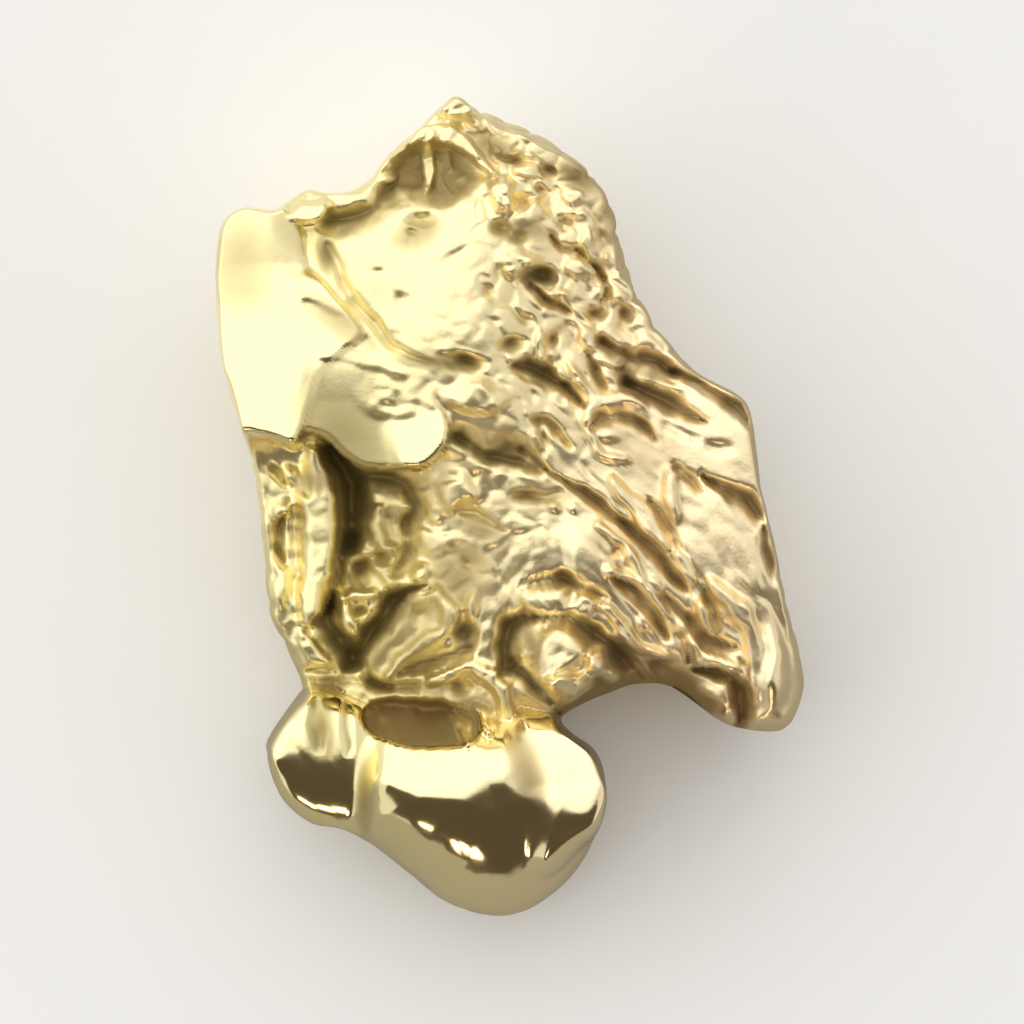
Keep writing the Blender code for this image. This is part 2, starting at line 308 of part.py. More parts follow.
# Creases and folds on the finished forms, cut where the height is negative.
FOLDS = (
    (-0.035, ((-5.05, 6.05, 0.1), (-4.6, 5.6, 0.16), (-4.2, 5.2, 0.12))),
    (-0.05, ((-5.05, 5.1, 0.1), (-4.5, 4.75, 0.2), (-3.9, 4.4, 0.24), (-3.4, 4.05, 0.16))),
    (0.06, ((-4.7, 3.8, 0.12), (-3.9, 3.75, 0.16), (-3.3, 3.6, 0.18), (-2.7, 3.3, 0.12))),
    (0.36, ((-1.45, -5.05, 0.1), (-1.2, -5.35, 0.2), (-1.08, -5.6, 0.12))),
    (0.36, ((-0.95, -4.85, 0.08), (-0.7, -5.12, 0.18), (-0.58, -5.35, 0.1))),
    (0.05, ((-1.45, -7.95, 0.4), (-1.5, -8.25, 0.4))),
    (0.04, ((-5.45, -6.75, 0.35), (-5.4, -6.95, 0.35))),
    (-0.12, ((-4.85, -4.6, 0.12), (-4.8, -5.2, 0.22), (-4.75, -5.75, 0.14))),
    (-0.08, ((-4.15, -4.8, 0.12), (-4.1, -5.3, 0.16), (-4.0, -5.8, 0.1))),
)

# How rough the skin is: x, y, share of the full roughness.
ROUGH_REACH = 0.8
ROUGHNESS = (
    (1.0, 7.0, 1.0), (2.0, 5.5, 1.0), (0.5, 5.0, 0.9), (-2.5, 5.8, 0.1), (-1.2, 6.8, 0.2),
    (-2.2, 8.3, 0.5), (-1.3, 4.8, 0.15), (0.0, 9.0, 0.9), (-0.5, 3.0, 0.6), (1.5, 3.5, 0.8),
    (3.5, 3.6, 0.8), (5.0, 2.0, 0.08), (2.6, 2.0, 0.4), (1.2, 1.5, 0.6), (-1.0, 0.0, 0.5),
    (1.6, -1.0, 0.12), (3.5, -1.0, 0.6), (5.2, -0.6, 0.2), (4.5, -2.6, 0.8), (5.6, -3.2, 0.5),
    (3.5, -3.2, 0.8), (1.2, -3.4, 0.35), (-1.0, -2.8, 0.6), (-3.0, -1.0, 0.7), (-4.5, -0.5, 0.3),
    (-5.5, -0.5, 0.25), (-5.4, -2.8, 0.5), (-2.4, -3.8, 0.4), (-0.8, -4.6, 0.2), (-0.2, -5.3, 0.0),
    (-4.6, -4.8, 0.2),
    (0.5, -5.4, 0.1), (-2.4, -5.2, 0.05), (-4.2, -5.8, 0.0),
    (-1.0, -7.5, 0.1), (-5.0, -6.5, 0.1), (1.6, -6.6, 0.1), (-6.0, 5.0, 0.1), (-7.1, 3.8, 0.05),
    (-6.4, 7.3, 0.05), (6.8, -4.0, 0.25),
)
ROUGH_CELLS = ((0.62, 0.08), (0.33, 0.015))  # cell size and height of the two sizes of small lump
ROUGH_PITS = (0.55, 0.13, (0.12, 0.50))  # cell size and depth of the pits, and how sharply they start
ROUGH_SWELL = (1.1, 0.10)
FLOW_TURN = -48.0  # degrees: the run of the flow lines on the lower right
FLOW_STRETCH = 0.62
BACK_CELLS = ((1.7, 0.35), (0.8, 0.16))
SIDE_LUMPS = (0.75, 0.14)
SIDE_ROUGHNESS = 0.7  # of the sides of the smooth forms, below their rims
SIDE_SWELLS = ((1.5, 0.16), (0.6, 0.05))  # how far the sides stray in and out, coarse and fine

TABLE = 97  # size of the tables of random numbers
FAR = 9.0
STRAY = (0.07, 0.035)  # how far marks stray from their drawn places, coarse and fine
LEAN = 0.2  # how far marks are pushed over
SEEN_FROM = (3.4, 144.0)  # the forms are drawn to scale at the first height, as seen from the second


def closed_curve(points, per_side):
    """A closed Catmull-Rom curve through the points."""
    p = np.asarray(points, float)
    u = (np.arange(per_side) / per_side)[:, None]
    pieces = []
    for a, b, c, d in zip(np.roll(p, 1, 0), p, np.roll(p, -1, 0), np.roll(p, -2, 0)):
        pieces.append(b + 0.5 * u * (c - a + u * (2 * a - 5 * b + 4 * c - d + u * (3 * (b - c) + d - a))))
    return np.concatenate(pieces)


def path_distance(x, y, path, closed=False):
    """Distance from each place to a path of straight pieces."""
    p = np.asarray(path, float)
    ends = np.roll(p, -1, 0) if closed else p[1:]
    best = np.full(x.shape, FAR * FAR)
    for (ax, ay), (bx, by) in zip(p, ends):
        dx = bx - ax
        dy = by - ay
        t = np.clip(((x - ax) * dx + (y - ay) * dy) / (dx * dx + dy * dy), 0, 1)
        best = np.minimum(best, (x - ax - t * dx) ** 2 + (y - ay - t * dy) ** 2)
    return np.sqrt(best)


def path_share(x, y, path):
    """Distance from each place to a path, as a share of the path's half width where it is nearest."""
    best = np.full(x.shape, FAR)
    for (ax, ay, aw), (bx, by, bw) in zip(path, path[1:]):
        dx = bx - ax
        dy = by - ay
        t = np.clip(((x - ax) * dx + (y - ay) * dy) / (dx * dx + dy * dy), 0, 1)
        best = np.minimum(best, np.hypot(x - ax - t * dx, y - ay - t * dy) / (aw + t * (bw - aw)))
    return best


def depth_inside(x, y, points):
    """How far inside a closed outline each place is; negative outside."""
    p = closed_curve(points, 5)
    inside = np.zeros(x.shape, bool)
    for (ax, ay), (bx, by) in zip(p, np.roll(p, -1, 0)):
        if ay != by:
            inside ^= ((ay > y) != (by > y)) & (x < (bx - ax) * (y - ay) / (by - ay) + ax)
    near = path_distance(x, y, p, True)
    return np.where(inside, near, -near)


def smooth_step(value, low, high):
    t = np.clip((value - low) / (high - low), 0, 1)
    return t * t * (3 - 2 * t)


def quarter_round(u, squareness=2.0):
    """0 at 0, rising steeply and level at 1, like the edge of a round thing; squarer above 2."""
    return (1 - (1 - np.clip(u, 0, 1)) ** squareness) ** (1 / squareness)


def higher(a, b, blend=0.08):
    """The higher of two heights, with a small fillet where they meet."""
    return blend * np.logaddexp(a / blend, b / blend)


def spot(x, y, centre_x, centre_y, half_length, half_width, turn):
    """0 at the middle of a turned oval, 1 on its edge."""
    c = np.cos(np.radians(turn))
    s = np.sin(np.radians(turn))
    u = (x - centre_x) * c + (y - centre_y) * s
    v = (y - centre_y) * c - (x - centre_x) * s
    return np.hypot(u / half_length, v / half_width)


def bump(q, power):
    return np.clip(1 - q * q, 0, 1) ** power


def spread(x, y, rows, reach):
    """Values given at a few places, spread smoothly over all the others."""
    total = np.zeros(x.shape)
    sums = np.zeros((len(rows[0]) - 2,) + x.shape)
    for row_x, row_y, *values in rows:
        weight = np.exp(-((x - row_x) ** 2 + (y - row_y) ** 2) / (2 * reach**2)) + 1e-9
        total += weight
        for k, value in enumerate(values):
            sums[k] += weight * value
    return sums / total


def swell(x, y, cell, seed):
    """Smooth random heights between -1 and 1 that change over about one cell."""
    table = np.random.default_rng(seed).uniform(-1, 1, (TABLE, TABLE))
    u = x / cell + 40
    v = y / cell + 40
    i = np.floor(u).astype(int)
    j = np.floor(v).astype(int)
    fu = (u - i) ** 2 * (3 - 2 * (u - i))
    fv = (v - j) ** 2 * (3 - 2 * (v - j))
    low = table[i % TABLE, j % TABLE] * (1 - fu) + table[(i + 1) % TABLE, j % TABLE] * fu
    high = table[i % TABLE, (j + 1) % TABLE] * (1 - fu) + table[(i + 1) % TABLE, (j + 1) % TABLE] * fu
    return low * (1 - fv) + high * fv


def small_lumps(x, y, cell, seed):
    """Rounded lumps packed together, 1 at their tops and 0 in the crevices between them."""
    shift = np.random.default_rng(seed).uniform(0.1, 0.9, (TABLE, TABLE, 2))
    u = x / cell + 40
    v = y / cell + 40
    i = np.floor(u).astype(int)
    j = np.floor(v).astype(int)
    first = np.full(x.shape, FAR)
    second = first.copy()
    for a in (-1, 0, 1):
        for b in (-1, 0, 1):
            s = shift[(i + a) % TABLE, (j + b) % TABLE]
            d = np.hypot(i + a + s[..., 0] - u, j + b + s[..., 1] - v)
            second = np.minimum(second, np.maximum(first, d))
            first = np.minimum(first, d)
    return (1 - (first / 0.75) ** 2) * smooth_step(second - first, 0, 0.35)


def ramp(value, soft):
    """0 below 0 and rising evenly above it, with a soft bend between."""
    return soft * np.logaddexp(0, value / soft)


def sheet(face, x, y, form):
    """A face cut to its outline, with its rim rounded down; and how far inside it each place is."""
    outline, *steps = form
    deep = depth_inside(x, y, outline)
    fallen = sum(drop * (1 - quarter_round(deep / width)) for width, drop in steps)
    return np.where(deep > 0, face - fallen, -FAR), deep


def slab(x, y):
    """The slab is level, rises towards its lower end and falls away to the right at its upper end."""
    bend, rise, soft = SLAB_BEND
    fallen = sum(fall * ramp(x - corner, 0.08) for corner, fall in SLAB_CORNER)
    fallen = fallen * smooth_step(y, *SLAB_UPPER_END)
    face = SLAB_HEIGHT + SLAB_LEAN * (x + 6) + rise * ramp(bend - y, soft) - fallen
    return sheet(face, x, y, SLAB)


def knuckle(x, y):
    """Two facets that rise from a crease between them."""
    crease = np.asarray(KNUCKLE_CREASE)
    side = x - np.interp(-y, -crease[:, 1], crease[:, 0])
    right = smooth_step(side, -0.25, 0.25)
    face = KNUCKLE_HEIGHT + KNUCKLE_SIDES[0] * ramp(-side, 0.08) + KNUCKLE_SIDES[1] * ramp(side, 0.08)
    face += (KNUCKLE_LEAN[0] * (1 - right) + KNUCKLE_LEAN[1] * right) * (y - 2.4)
    face -= KNUCKLE_TOP[1] * ramp(y - KNUCKLE_TOP[0], 0.06)
    return sheet(face, x, y, KNUCKLE)


def lobe(x, y, form):
    """Height of a round lobe: a quarter round from its outline, at 0, to its crown line, at 1."""
    outline, crown, low, high, squareness = form
    deep = depth_inside(x, y, outline)
    share = deep / (np.abs(deep) + path_distance(x, y, crown) + 1e-9)
    middle = crown[len(crown) // 2]
    top = high - LOBE_FALL * ((x - middle[0]) ** 2 + (y - middle[1]) ** 2)
    height = low + (top - low) * quarter_round(share, squareness)
    return np.where(deep > 0, height, -FAR), deep


def strayed(x, y):
    """The places moved a little, so that no mark has a drawn edge."""
    moved_x = x + STRAY[0] * swell(x, y, 0.8, 1) + STRAY[1] * swell(x, y, 0.3, 12)
    moved_y = y + STRAY[0] * swell(x, y, 0.8, 2) + STRAY[1] * swell(x, y, 0.3, 13)
    return moved_x, moved_y


def marks(x, y):
    """Heights that the lumps, ridges, pits and grooves add or take away."""
    z = np.zeros(x.shape)
    ragged = 0.22 * swell(x, y, 0.42, 16) + 0.06 * swell(x, y, 0.2, 17)
    for *place, height in LUMPS:
        z += height * (1 - smooth_step(spot(x, y, *place) + ragged, 0.5, 1.25))
    for height, path in RIDGES:
        z += height * (1 - smooth_step(path_share(x, y, path) + ragged, 0.5, 1.25))
    for *place, depth in PITS:
        z -= 1.1 * depth * (1 - smooth_step(spot(x, y, *place) + ragged, -0.3, 1.3))
    for depth, path in GROOVES:
        z -= 1.31 * depth * (1 - smooth_step(path_share(x, y, path) + ragged, -0.6, 1.3))
    right, left = TOP_HOLLOW_DEPTH
    hollow = right + (left - right) * smooth_step(-x, 1.7, 2.2)
    z -= hollow * smooth_step(depth_inside(x, y, TOP_HOLLOW) - 0.4 * ragged, -0.1, 0.45)
    return z


def leaning_marks(x, y):
    """The marks pushed over a little, so that their lower sides are steep and their upper sides gentle."""
    push = LEAN * np.clip(marks(x, y), -0.4, 0.4)
    return marks(x - 0.35 * push, y + push)


def folds(x, y):
    """Heights that the folds on the finished forms add or take away."""
    return sum(height * bump(path_share(x, y, path) / 1.3, 1.5) for height, path in FOLDS)


def rough_skin(x, y, share):
    """Lumps and pits, drawn out along the flow lines on the lower right."""
    flow = smooth_step(x + 0.45 * y, 0.6, 2.2) * smooth_step(-y, -2.2, -0.3)
    c = np.cos(np.radians(FLOW_TURN))
    s = np.sin(np.radians(FLOW_TURN))
    u = (x * c + y * s) * (1 - FLOW_STRETCH * flow) + 0.10 * swell(x, y, 0.5, 3)
    v = y * c - x * s + 0.10 * swell(x, y, 0.5, 4)
    z = ROUGH_SWELL[1] * swell(x, y, ROUGH_SWELL[0], 8)
    for seed, (cell, height) in enumerate(ROUGH_CELLS, 5):
        z += height * (small_lumps(u, v, cell, seed) - 0.5)
    holes = 0.7 * swell(u, v, ROUGH_PITS[0], 14) + 0.4 * swell(u, v, 0.45 * ROUGH_PITS[0], 15)
    z -= ROUGH_PITS[1] * smooth_step(holes, *ROUGH_PITS[2])
    return share * z


def smooth_forms(x, y):
    """Heights of the slab, knuckle, toe and lower lobes, and how deep inside each of them a place is."""
    lower = [lobe(x, y, form) for form in (BEAN, KNOB, BALL)]
    top = lower[0][0]
    for height, _ in lower[1:]:
        top = higher(top, height, LOBE_BLEND)
    inside = np.max([deep for _, deep in lower], 0)
    return slab(x, y), knuckle(x, y), lobe(x, y, TOE), (top, inside)


def rough_share(x, y, added):
    """How rough the skin is: most in the hollows."""
    share = spread(x, y, ROUGHNESS, ROUGH_REACH)[0] + 0.5 * smooth_step(-added, 0.3, 0.8)
    return np.minimum(share, 1)


def side_pattern(along, z):
    """Lumps and swells of a side, by the place along it and the height."""
    far = sum(reach * swell(along, z, cell, 30) for cell, reach in SIDE_SWELLS)
    return far + SIDE_LUMPS[1] * (small_lumps(along, z, SIDE_LUMPS[0], 31) - 0.5)


def stray(x, y, z, near, out):
    """How far the sides stray outwards: least below the smooth forms' rims, fading away inside the edge."""
    facing_x = out[:, 0] ** 2
    far = facing_x * side_pattern(y, z) + (1 - facing_x) * side_pattern(x + FAR, z)
    edge = spread(x, y, BODY, BODY_REACH)[1]
    below = SIDE_ROUGHNESS * smooth_step(edge - z, 0.2, 2.4)
    share = np.maximum(spread(x, y, ROUGHNESS, ROUGH_REACH)[0], below)
    return far * share * (1 - smooth_step(near, 0, 2.2))


def upper_side(x, y):
    """Height of the upper side before its edge is rounded off."""
    body = spread(x, y, BODY, BODY_REACH)[0]
    nearer = 1 + (body - SEEN_FROM[0]) / SEEN_FROM[1]
    moved_x, moved_y = strayed(nearer * x, nearer * y)
    added = leaning_marks(moved_x, moved_y)
    z = body + added
    smooth = np.zeros(x.shape)
    for height, deep in smooth_forms(0.2 * moved_x + 0.8 * nearer * x, 0.2 * moved_y + 0.8 * nearer * y):
        worn = smooth_step(height - z, -0.1, 0.15) * smooth_step(deep, -0.05, 0.1)
        smooth = np.maximum(smooth, worn)
        z = higher(z, height)
    bowl = BOWL_DEPTH * bump(spot(moved_x, moved_y, *BOWL), 0.7)
    smooth *= 1 - smooth_step(bowl, 0.1, 0.6)
    fine = rough_skin(x, y, rough_share(x, y, added - bowl) * (1 - smooth))
    return z - bowl + folds(moved_x, moved_y) + fine


def back_side(x, y):
    """Height of the lumpy back. Below 0 the floor wears it flat."""
    z = spread(x, y, BACK, BACK_REACH)[0]
    for seed, (cell, height) in enumerate(BACK_CELLS, 20):
        z += height * (0.6 - small_lumps(x + 0.2 * swell(x, y, 1.5, 22), y, cell, seed))
    return z


def nearest(curve, place):
    return int(np.argmin(np.hypot(curve[:, 0] - place[0], curve[:, 1] - place[1])))


def evenly(curve, first, last, count):
    """Points at even steps along a closed curve from one of its points to another, without the last."""
    steps = (last - first) % len(curve) or len(curve)
    part = curve[(first + np.arange(steps + 1)) % len(curve)]
    run = np.concatenate([[0], np.cumsum(np.hypot(*np.diff(part, axis=0).T))])
    at = np.arange(count) / count * run[-1]
    return np.stack([np.interp(at, run, part[:, 0]), np.interp(at, run, part[:, 1])], 1)


def spokes(columns_round):
    """Outer and inner ends of the spokes: up the right edge, then down the left one."""
    curve = closed_curve(OUTLINE, 24)
    rows = [(nearest(curve, right), nearest(curve, left), spine) for right, left, spine in STATIONS]
    gaps = [max(b[0] - a[0], (a[1] - b[1]) % len(curve)) for a, b in zip(rows, rows[1:])]
    counts = [max(2, round(columns_round / 2 * gap / sum(gaps))) for gap in gaps]
    right = []
    left = []
    spine = []
    for a, b, count in zip(rows, rows[1:], counts):
        right.append(evenly(curve, a[0], b[0], count))
        left.append(evenly(curve, b[1], a[1], count)[::-1])
        t = (np.arange(count) / count)[:, None]
        spine.append(np.asarray(a[2]) * (1 - t) + np.asarray(b[2]) * t)
    # Down the left edge each spoke pairs with the one that shares its spine point.
    left = np.concatenate(left)[::-1]
    right = np.concatenate(right)
    spine = np.concatenate(spine + [[rows[-1][2]]])
    outer = np.concatenate([right, left])
    half = len(right)
    inner = spine[np.concatenate([np.arange(half), np.arange(half, 0, -1)])]
    return outer, inner


def ring_shares(count, edge_share):
    """Where the rings cross a spoke, 0 at the edge and 1 on the spine: close together round the edge."""
    edge = max(2, round(count * edge_share))
    around = np.arange(edge) / edge * np.pi / 2
    inward = np.linspace(EDGE_SPAN, 1, count - edge + 1)
    return np.concatenate([EDGE_SPAN * (1 - np.cos(around)), inward])


def side_points(outer, inner, shares, upper):
    """Points of one side, ring by ring from the edge to the spine."""
    x, y = np.moveaxis(outer * (1 - shares[:, None, None]) + inner * shares[:, None, None], -1, 0)
    _, edge, rounding = spread(x, y, BODY, BODY_REACH)
    near = path_distance(x, y, closed_curve(OUTLINE, 6), True)
    near[0] = 0
    if upper:
        rounding = rounding * (1 + 0.5 * swell(x, y, 0.7, 33))
        z = edge + (upper_side(x, y) - edge) * quarter_round(near / rounding)
    else:
        z = edge - (edge - back_side(x, y)) * quarter_round(near / BACK_ROUNDING)
    out = (outer - inner) / np.linalg.norm(outer - inner, axis=1)[:, None]
    far = stray(x, y, z, near, out)
    return np.stack([x + far * out[:, 0], y + far * out[:, 1], z], -1)


def skin():
    """Points and faces of the closed skin: both sides share the edge, and each folds onto the spine."""
    outer, inner = spokes(COLUMNS)
    columns = np.arange(len(outer))
    fold = np.minimum(columns, len(outer) - columns)
    top = side_points(outer, inner, ring_shares(TOP_RINGS, TOP_EDGE_RINGS), True)
    back = side_points(outer, inner, ring_shares(BACK_RINGS, BACK_EDGE_RINGS), False)
    points = [top[0]]
    faces = []
    count = len(outer)
    for side, order in ((top, 1), (back, -1)):
        ring = columns
        for row in side[1:-1]:
            points.append(row)
            faces.append(strip(ring, count + columns)[:, ::order])
            ring = count + columns
            count += len(row)
        points.append(side[-1][: fold.max() + 1])
        faces.append(strip(ring, count + fold)[:, ::order])
        count += fold.max() + 1
    return centred(np.concatenate(points)), np.concatenate(faces)


def centred(points):
    """The points moved so that the origin is under the middle of their box, on the floor."""
    middle = (points.min(0) + points.max(0)) / 2
    return points - [middle[0], middle[1], 0]


def strip(outer_ring, inner_ring):
    """Four-cornered faces between two rings."""
    return np.stack([outer_ring, np.roll(outer_ring, -1), np.roll(inner_ring, -1), inner_ring], 1)


def gold():
    """Warm yellow native metal, worn bright."""
    material = bpy.data.materials.new("gold")
    material.use_nodes = True
    shader = material.node_tree.nodes["Principled BSDF"]
    shader.inputs["Base Color"].default_value = GOLD_COLOUR
    shader.inputs["Metallic"].default_value = 1.0
    shader.inputs["Roughness"].default_value = GOLD_ROUGHNESS
    material.diffuse_color = GOLD_COLOUR
    return material


def floor_cutter():
    """A box whose top is the floor; it wears the back flat where that dips below."""
    side = 2 * DRAWN_LENGTH * SCALE
    bpy.ops.mesh.primitive_cube_add(size=side, location=(0, 0, -side / 2))
    cutter = bpy.context.object
    cutter.name = "floor_cutter"
    cutter.hide_render = True
    cutter.display_type = "WIRE"
    return cutter


def nugget():
    points, faces = skin()
    mesh = bpy.data.meshes.new("nugget")
    mesh.from_pydata((points * SCALE).tolist(), [], faces.tolist())
    mesh.materials.append(gold())
    piece = bpy.data.objects.new("nugget", mesh)
    bpy.context.collection.objects.link(piece)
    thin = piece.modifiers.new("thin", "DECIMATE")
    thin.ratio = KEPT_TRIANGLES / (2 * len(faces))
    worn = piece.modifiers.new("worn flat", "BOOLEAN")
    worn.operation = "DIFFERENCE"
    worn.object = floor_cutter()
    return piece


def main():
    for old in list(bpy.data.objects):
        bpy.data.objects.remove(old)
    nugget()


main()
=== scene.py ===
"""A gold nugget lying on a pale floor, as a Blender add-on that is run as a script.

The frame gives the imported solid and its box. The operators make the nugget's fine skin in its place
and the stage round it. All the forms below are in millimetres, measured from the middle of the floor
under the nugget: x across, y along its length, z up.
"""

import bpy
import numpy as np
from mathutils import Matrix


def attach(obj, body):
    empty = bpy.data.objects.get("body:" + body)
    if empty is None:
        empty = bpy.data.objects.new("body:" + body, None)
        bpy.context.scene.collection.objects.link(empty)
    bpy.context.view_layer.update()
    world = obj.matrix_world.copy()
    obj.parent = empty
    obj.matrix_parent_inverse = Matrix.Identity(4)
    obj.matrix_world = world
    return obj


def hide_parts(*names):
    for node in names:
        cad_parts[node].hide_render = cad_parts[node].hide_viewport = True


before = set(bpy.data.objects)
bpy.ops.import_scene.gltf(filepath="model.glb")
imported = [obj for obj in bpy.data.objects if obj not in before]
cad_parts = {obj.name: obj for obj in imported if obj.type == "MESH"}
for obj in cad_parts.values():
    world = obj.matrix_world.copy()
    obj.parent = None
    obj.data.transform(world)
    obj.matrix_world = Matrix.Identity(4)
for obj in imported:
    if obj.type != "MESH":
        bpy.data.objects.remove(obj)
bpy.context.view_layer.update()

bl_info = {
    "name": "Gold nugget",
    "version": (1, 0, 0),
    "blender": (4, 5, 0),
    "location": "3D View > Sidebar > Nugget",
    "description": "Makes a placer gold nugget with a folded slab, a pitted face and a rounded lobe",
    "category": "Mesh",
}

TO_METRES = 0.001

# How the skin is laid out: rings run from the edge to the spine of each side.
TOP_RINGS = 92
BACK_RINGS = 34
TOP_EDGE_RINGS = 0.16  # share of a side's rings that follow its rounded edge
BACK_EDGE_RINGS = 0.5
EDGE_SPAN = 0.1  # share of a spoke that those rings take
# Points that a closed curve gets for each one listed: for the spokes, for the edge and for a form.
SPOKE_STEPS = 24
EDGE_STEPS = 6
FORM_STEPS = 5

# The edge seen from above, anticlockwise from the bottom of the lower lobe.
OUTLINE = (
    (-0.5, -10.0), (0.5, -9.8), (1.5, -9.0), (2.08, -8.0), (2.33, -7.0), (2.1, -6.0), (1.5, -5.5),
    (1.22, -5.2), (1.35, -4.98), (2.1, -4.6), (3.2, -4.27), (4.1, -4.4), (5.0, -5.1), (5.7, -5.38),
    (6.7, -5.36), (7.15, -4.5), (7.08, -3.6), (6.65, -2.1), (6.42, -0.9), (6.08, 0.5), (5.95, 1.5),
    (5.8, 2.4), (5.5, 2.83), (4.5, 3.4), (3.7, 4.25), (3.1, 5.2), (2.6, 6.75), (2.1, 7.85), (1.75, 8.35),
    (1.3, 8.72), (0.6, 9.12), (-0.1, 9.42), (-0.8, 9.73), (-1.35, 9.98), (-1.6, 9.9), (-2.2, 9.4),
    (-3.0, 8.72), (-3.45, 8.1), (-3.9, 7.75), (-4.5, 7.72), (-5.0, 7.77), (-5.5, 7.45), (-5.8, 7.3),
    (-6.5, 7.35), (-7.0, 7.0), (-7.17, 6.2), (-7.17, 5.0), (-7.0, 3.5), (-6.6, 2.0), (-6.25, 0.5),
    (-6.1, -1.0), (-5.93, -2.5), (-5.5, -3.5), (-5.22, -4.3), (-5.35, -4.6), (-5.98, -5.5), (-6.05, -6.0),
    (-5.75, -7.0), (-5.0, -7.7), (-4.2, -7.85), (-3.4, -8.3), (-2.5, -9.0), (-1.6, -9.7),
)

# Rows from the bottom up: a place on the right edge, the place on the left edge that it pairs with,
# and the point of the spine between them. Spokes run from the edge to the spine.
STATIONS = (
    ((-0.5, -10.0), (-0.5, -10.0), (-1.2, -7.6)),
    ((2.33, -7.0), (-4.2, -7.85), (-1.5, -6.9)),
    ((1.22, -5.2), (-6.05, -6.0), (-1.9, -5.7)),
    ((3.2, -4.27), (-5.22, -4.3), (-0.7, -3.7)),
    ((5.0, -5.1), (-5.8, -3.0), (0.6, -1.2)),
    ((7.15, -4.5), (-6.1, -1.0), (0.8, 0.0)),
    ((6.42, -0.9), (-6.4, 1.1), (0.5, 1.6)),
    ((5.8, 2.4), (-7.0, 3.5), (0.0, 3.2)),
    ((3.1, 5.2), (-7.17, 6.2), (-1.0, 5.2)),
    ((2.1, 7.85), (-5.8, 7.3), (-1.4, 6.6)),
    ((-1.35, 9.98), (-1.35, 9.98), (-1.7, 7.9)),
)

# The bulk: x, y, height of the upper side, height of the edge, and how far in the edge is rounded.
BODY = (
    # peak and plateau
    (-1.5, 9.3, 5.9, 5.0, 0.16), (-2.6, 8.3, 5.9, 5.0, 0.16), (-2.8, 6.0, 7.0, 6.1, 0.16),
    (-1.2, 6.8, 6.9, 6.0, 0.16), (-1.4, 4.3, 7.3, 6.2, 0.16), (0.5, 8.2, 6.2, 5.3, 0.16),
    (0.5, 6.0, 6.7, 5.8, 0.16), (1.9, 7.2, 5.8, 4.9, 0.16), (2.4, 5.2, 5.8, 4.9, 0.16),
    # middle and right flank
    (-0.8, 2.6, 6.85, 5.4, 0.16), (1.0, 3.2, 6.2, 5.3, 0.16), (2.8, 2.0, 6.0, 5.2, 0.16),
    (3.8, 3.6, 5.8, 4.8, 0.16), (5.2, 2.2, 6.2, 5.2, 0.16), (5.6, 1.1, 6.2, 5.2, 0.14),
    (-1.2, 0.2, 5.95, 4.9, 0.16), (1.4, -1.1, 6.1, 5.1, 0.16), (3.2, 0.2, 5.9, 5.0, 0.16),
    (5.5, 0.0, 5.9, 4.9, 0.16), (5.9, -0.8, 6.2, 5.1, 0.14), (4.0, -1.8, 5.7, 4.6, 0.16),
    (5.8, -2.8, 5.6, 4.6, 0.16), (6.5, -4.6, 5.0, 3.4, 0.5),
    # above the notch
    (3.6, -3.7, 4.8, 3.4, 0.6), (1.2, -3.1, 5.3, 3.4, 0.5), (-1.0, -2.6, 5.5, 4.6, 0.16),
    (-0.6, -4.6, 4.5, 3.4, 0.5), (1.4, -4.4, 6.5, 3.4, 0.4),
    # left recess and neck
    (-3.0, -0.4, 4.6, 3.7, 0.16), (-4.4, -1.0, 4.3, 3.3, 0.16), (-5.4, 0.0, 4.7, 3.8, 0.16),
    (-5.5, -2.2, 4.4, 3.5, 0.16), (-3.0, -2.4, 4.9, 4.0, 0.16), (-2.6, -4.2, 4.0, 3.4, 0.16),
    (-4.8, -4.6, 4.0, 3.0, 0.4),
    # lower lobe, whose own form stands on its edge height
    (-5.0, -6.4, 3.2, 2.9, 0.1), (-3.0, -7.4, 3.2, 3.0, 0.1), (-0.8, -7.2, 3.2, 3.0, 0.1),
    (1.5, -6.6, 3.2, 3.0, 0.1), (-0.8, -9.4, 3.0, 3.0, 0.1), (1.7, -5.6, 3.2, 3.0, 0.1),
    # slab
    (-6.4, 4.0, 6.3, 6.0, 0.14), (-5.8, 7.0, 6.0, 5.8, 0.14), (-4.2, 5.2, 6.7, 6.0, 0.16),
    (-3.2, 3.9, 6.8, 6.0, 0.16), (-7.0, 5.6, 6.2, 6.0, 0.14),
)

BODY_REACH = 1.0  # over about this distance one row's values run into the next one's

# The back: x, y, height above the floor before it is worn flat. Below 0 it rests on the floor.
BACK = (
    (-1.5, 8.6, 1.0), (1.2, 7.0, 0.5), (-2.6, 5.2, -0.7), (-5.6, 5.0, 0.9), (-5.4, 2.2, 0.7),
    (0.6, 4.0, -0.5), (-1.5, 2.2, 0.5), (3.4, 2.4, 0.3), (1.2, 0.6, 0.6), (-3.6, -0.4, 0.6),
    (4.6, -1.6, -0.6), (2.2, -2.0, 0.3), (6.0, -3.8, 0.6), (-0.6, -2.6, 0.5), (-3.4, -3.2, 0.9),
    (-3.4, -5.2, 1.1), (-1.2, -7.2, -0.7), (-4.8, -6.4, 0.8), (1.4, -6.6, 0.6),
)

BACK_REACH = 1.1
BACK_ROUNDING = 2.4  # how far in the lower edge is rounded

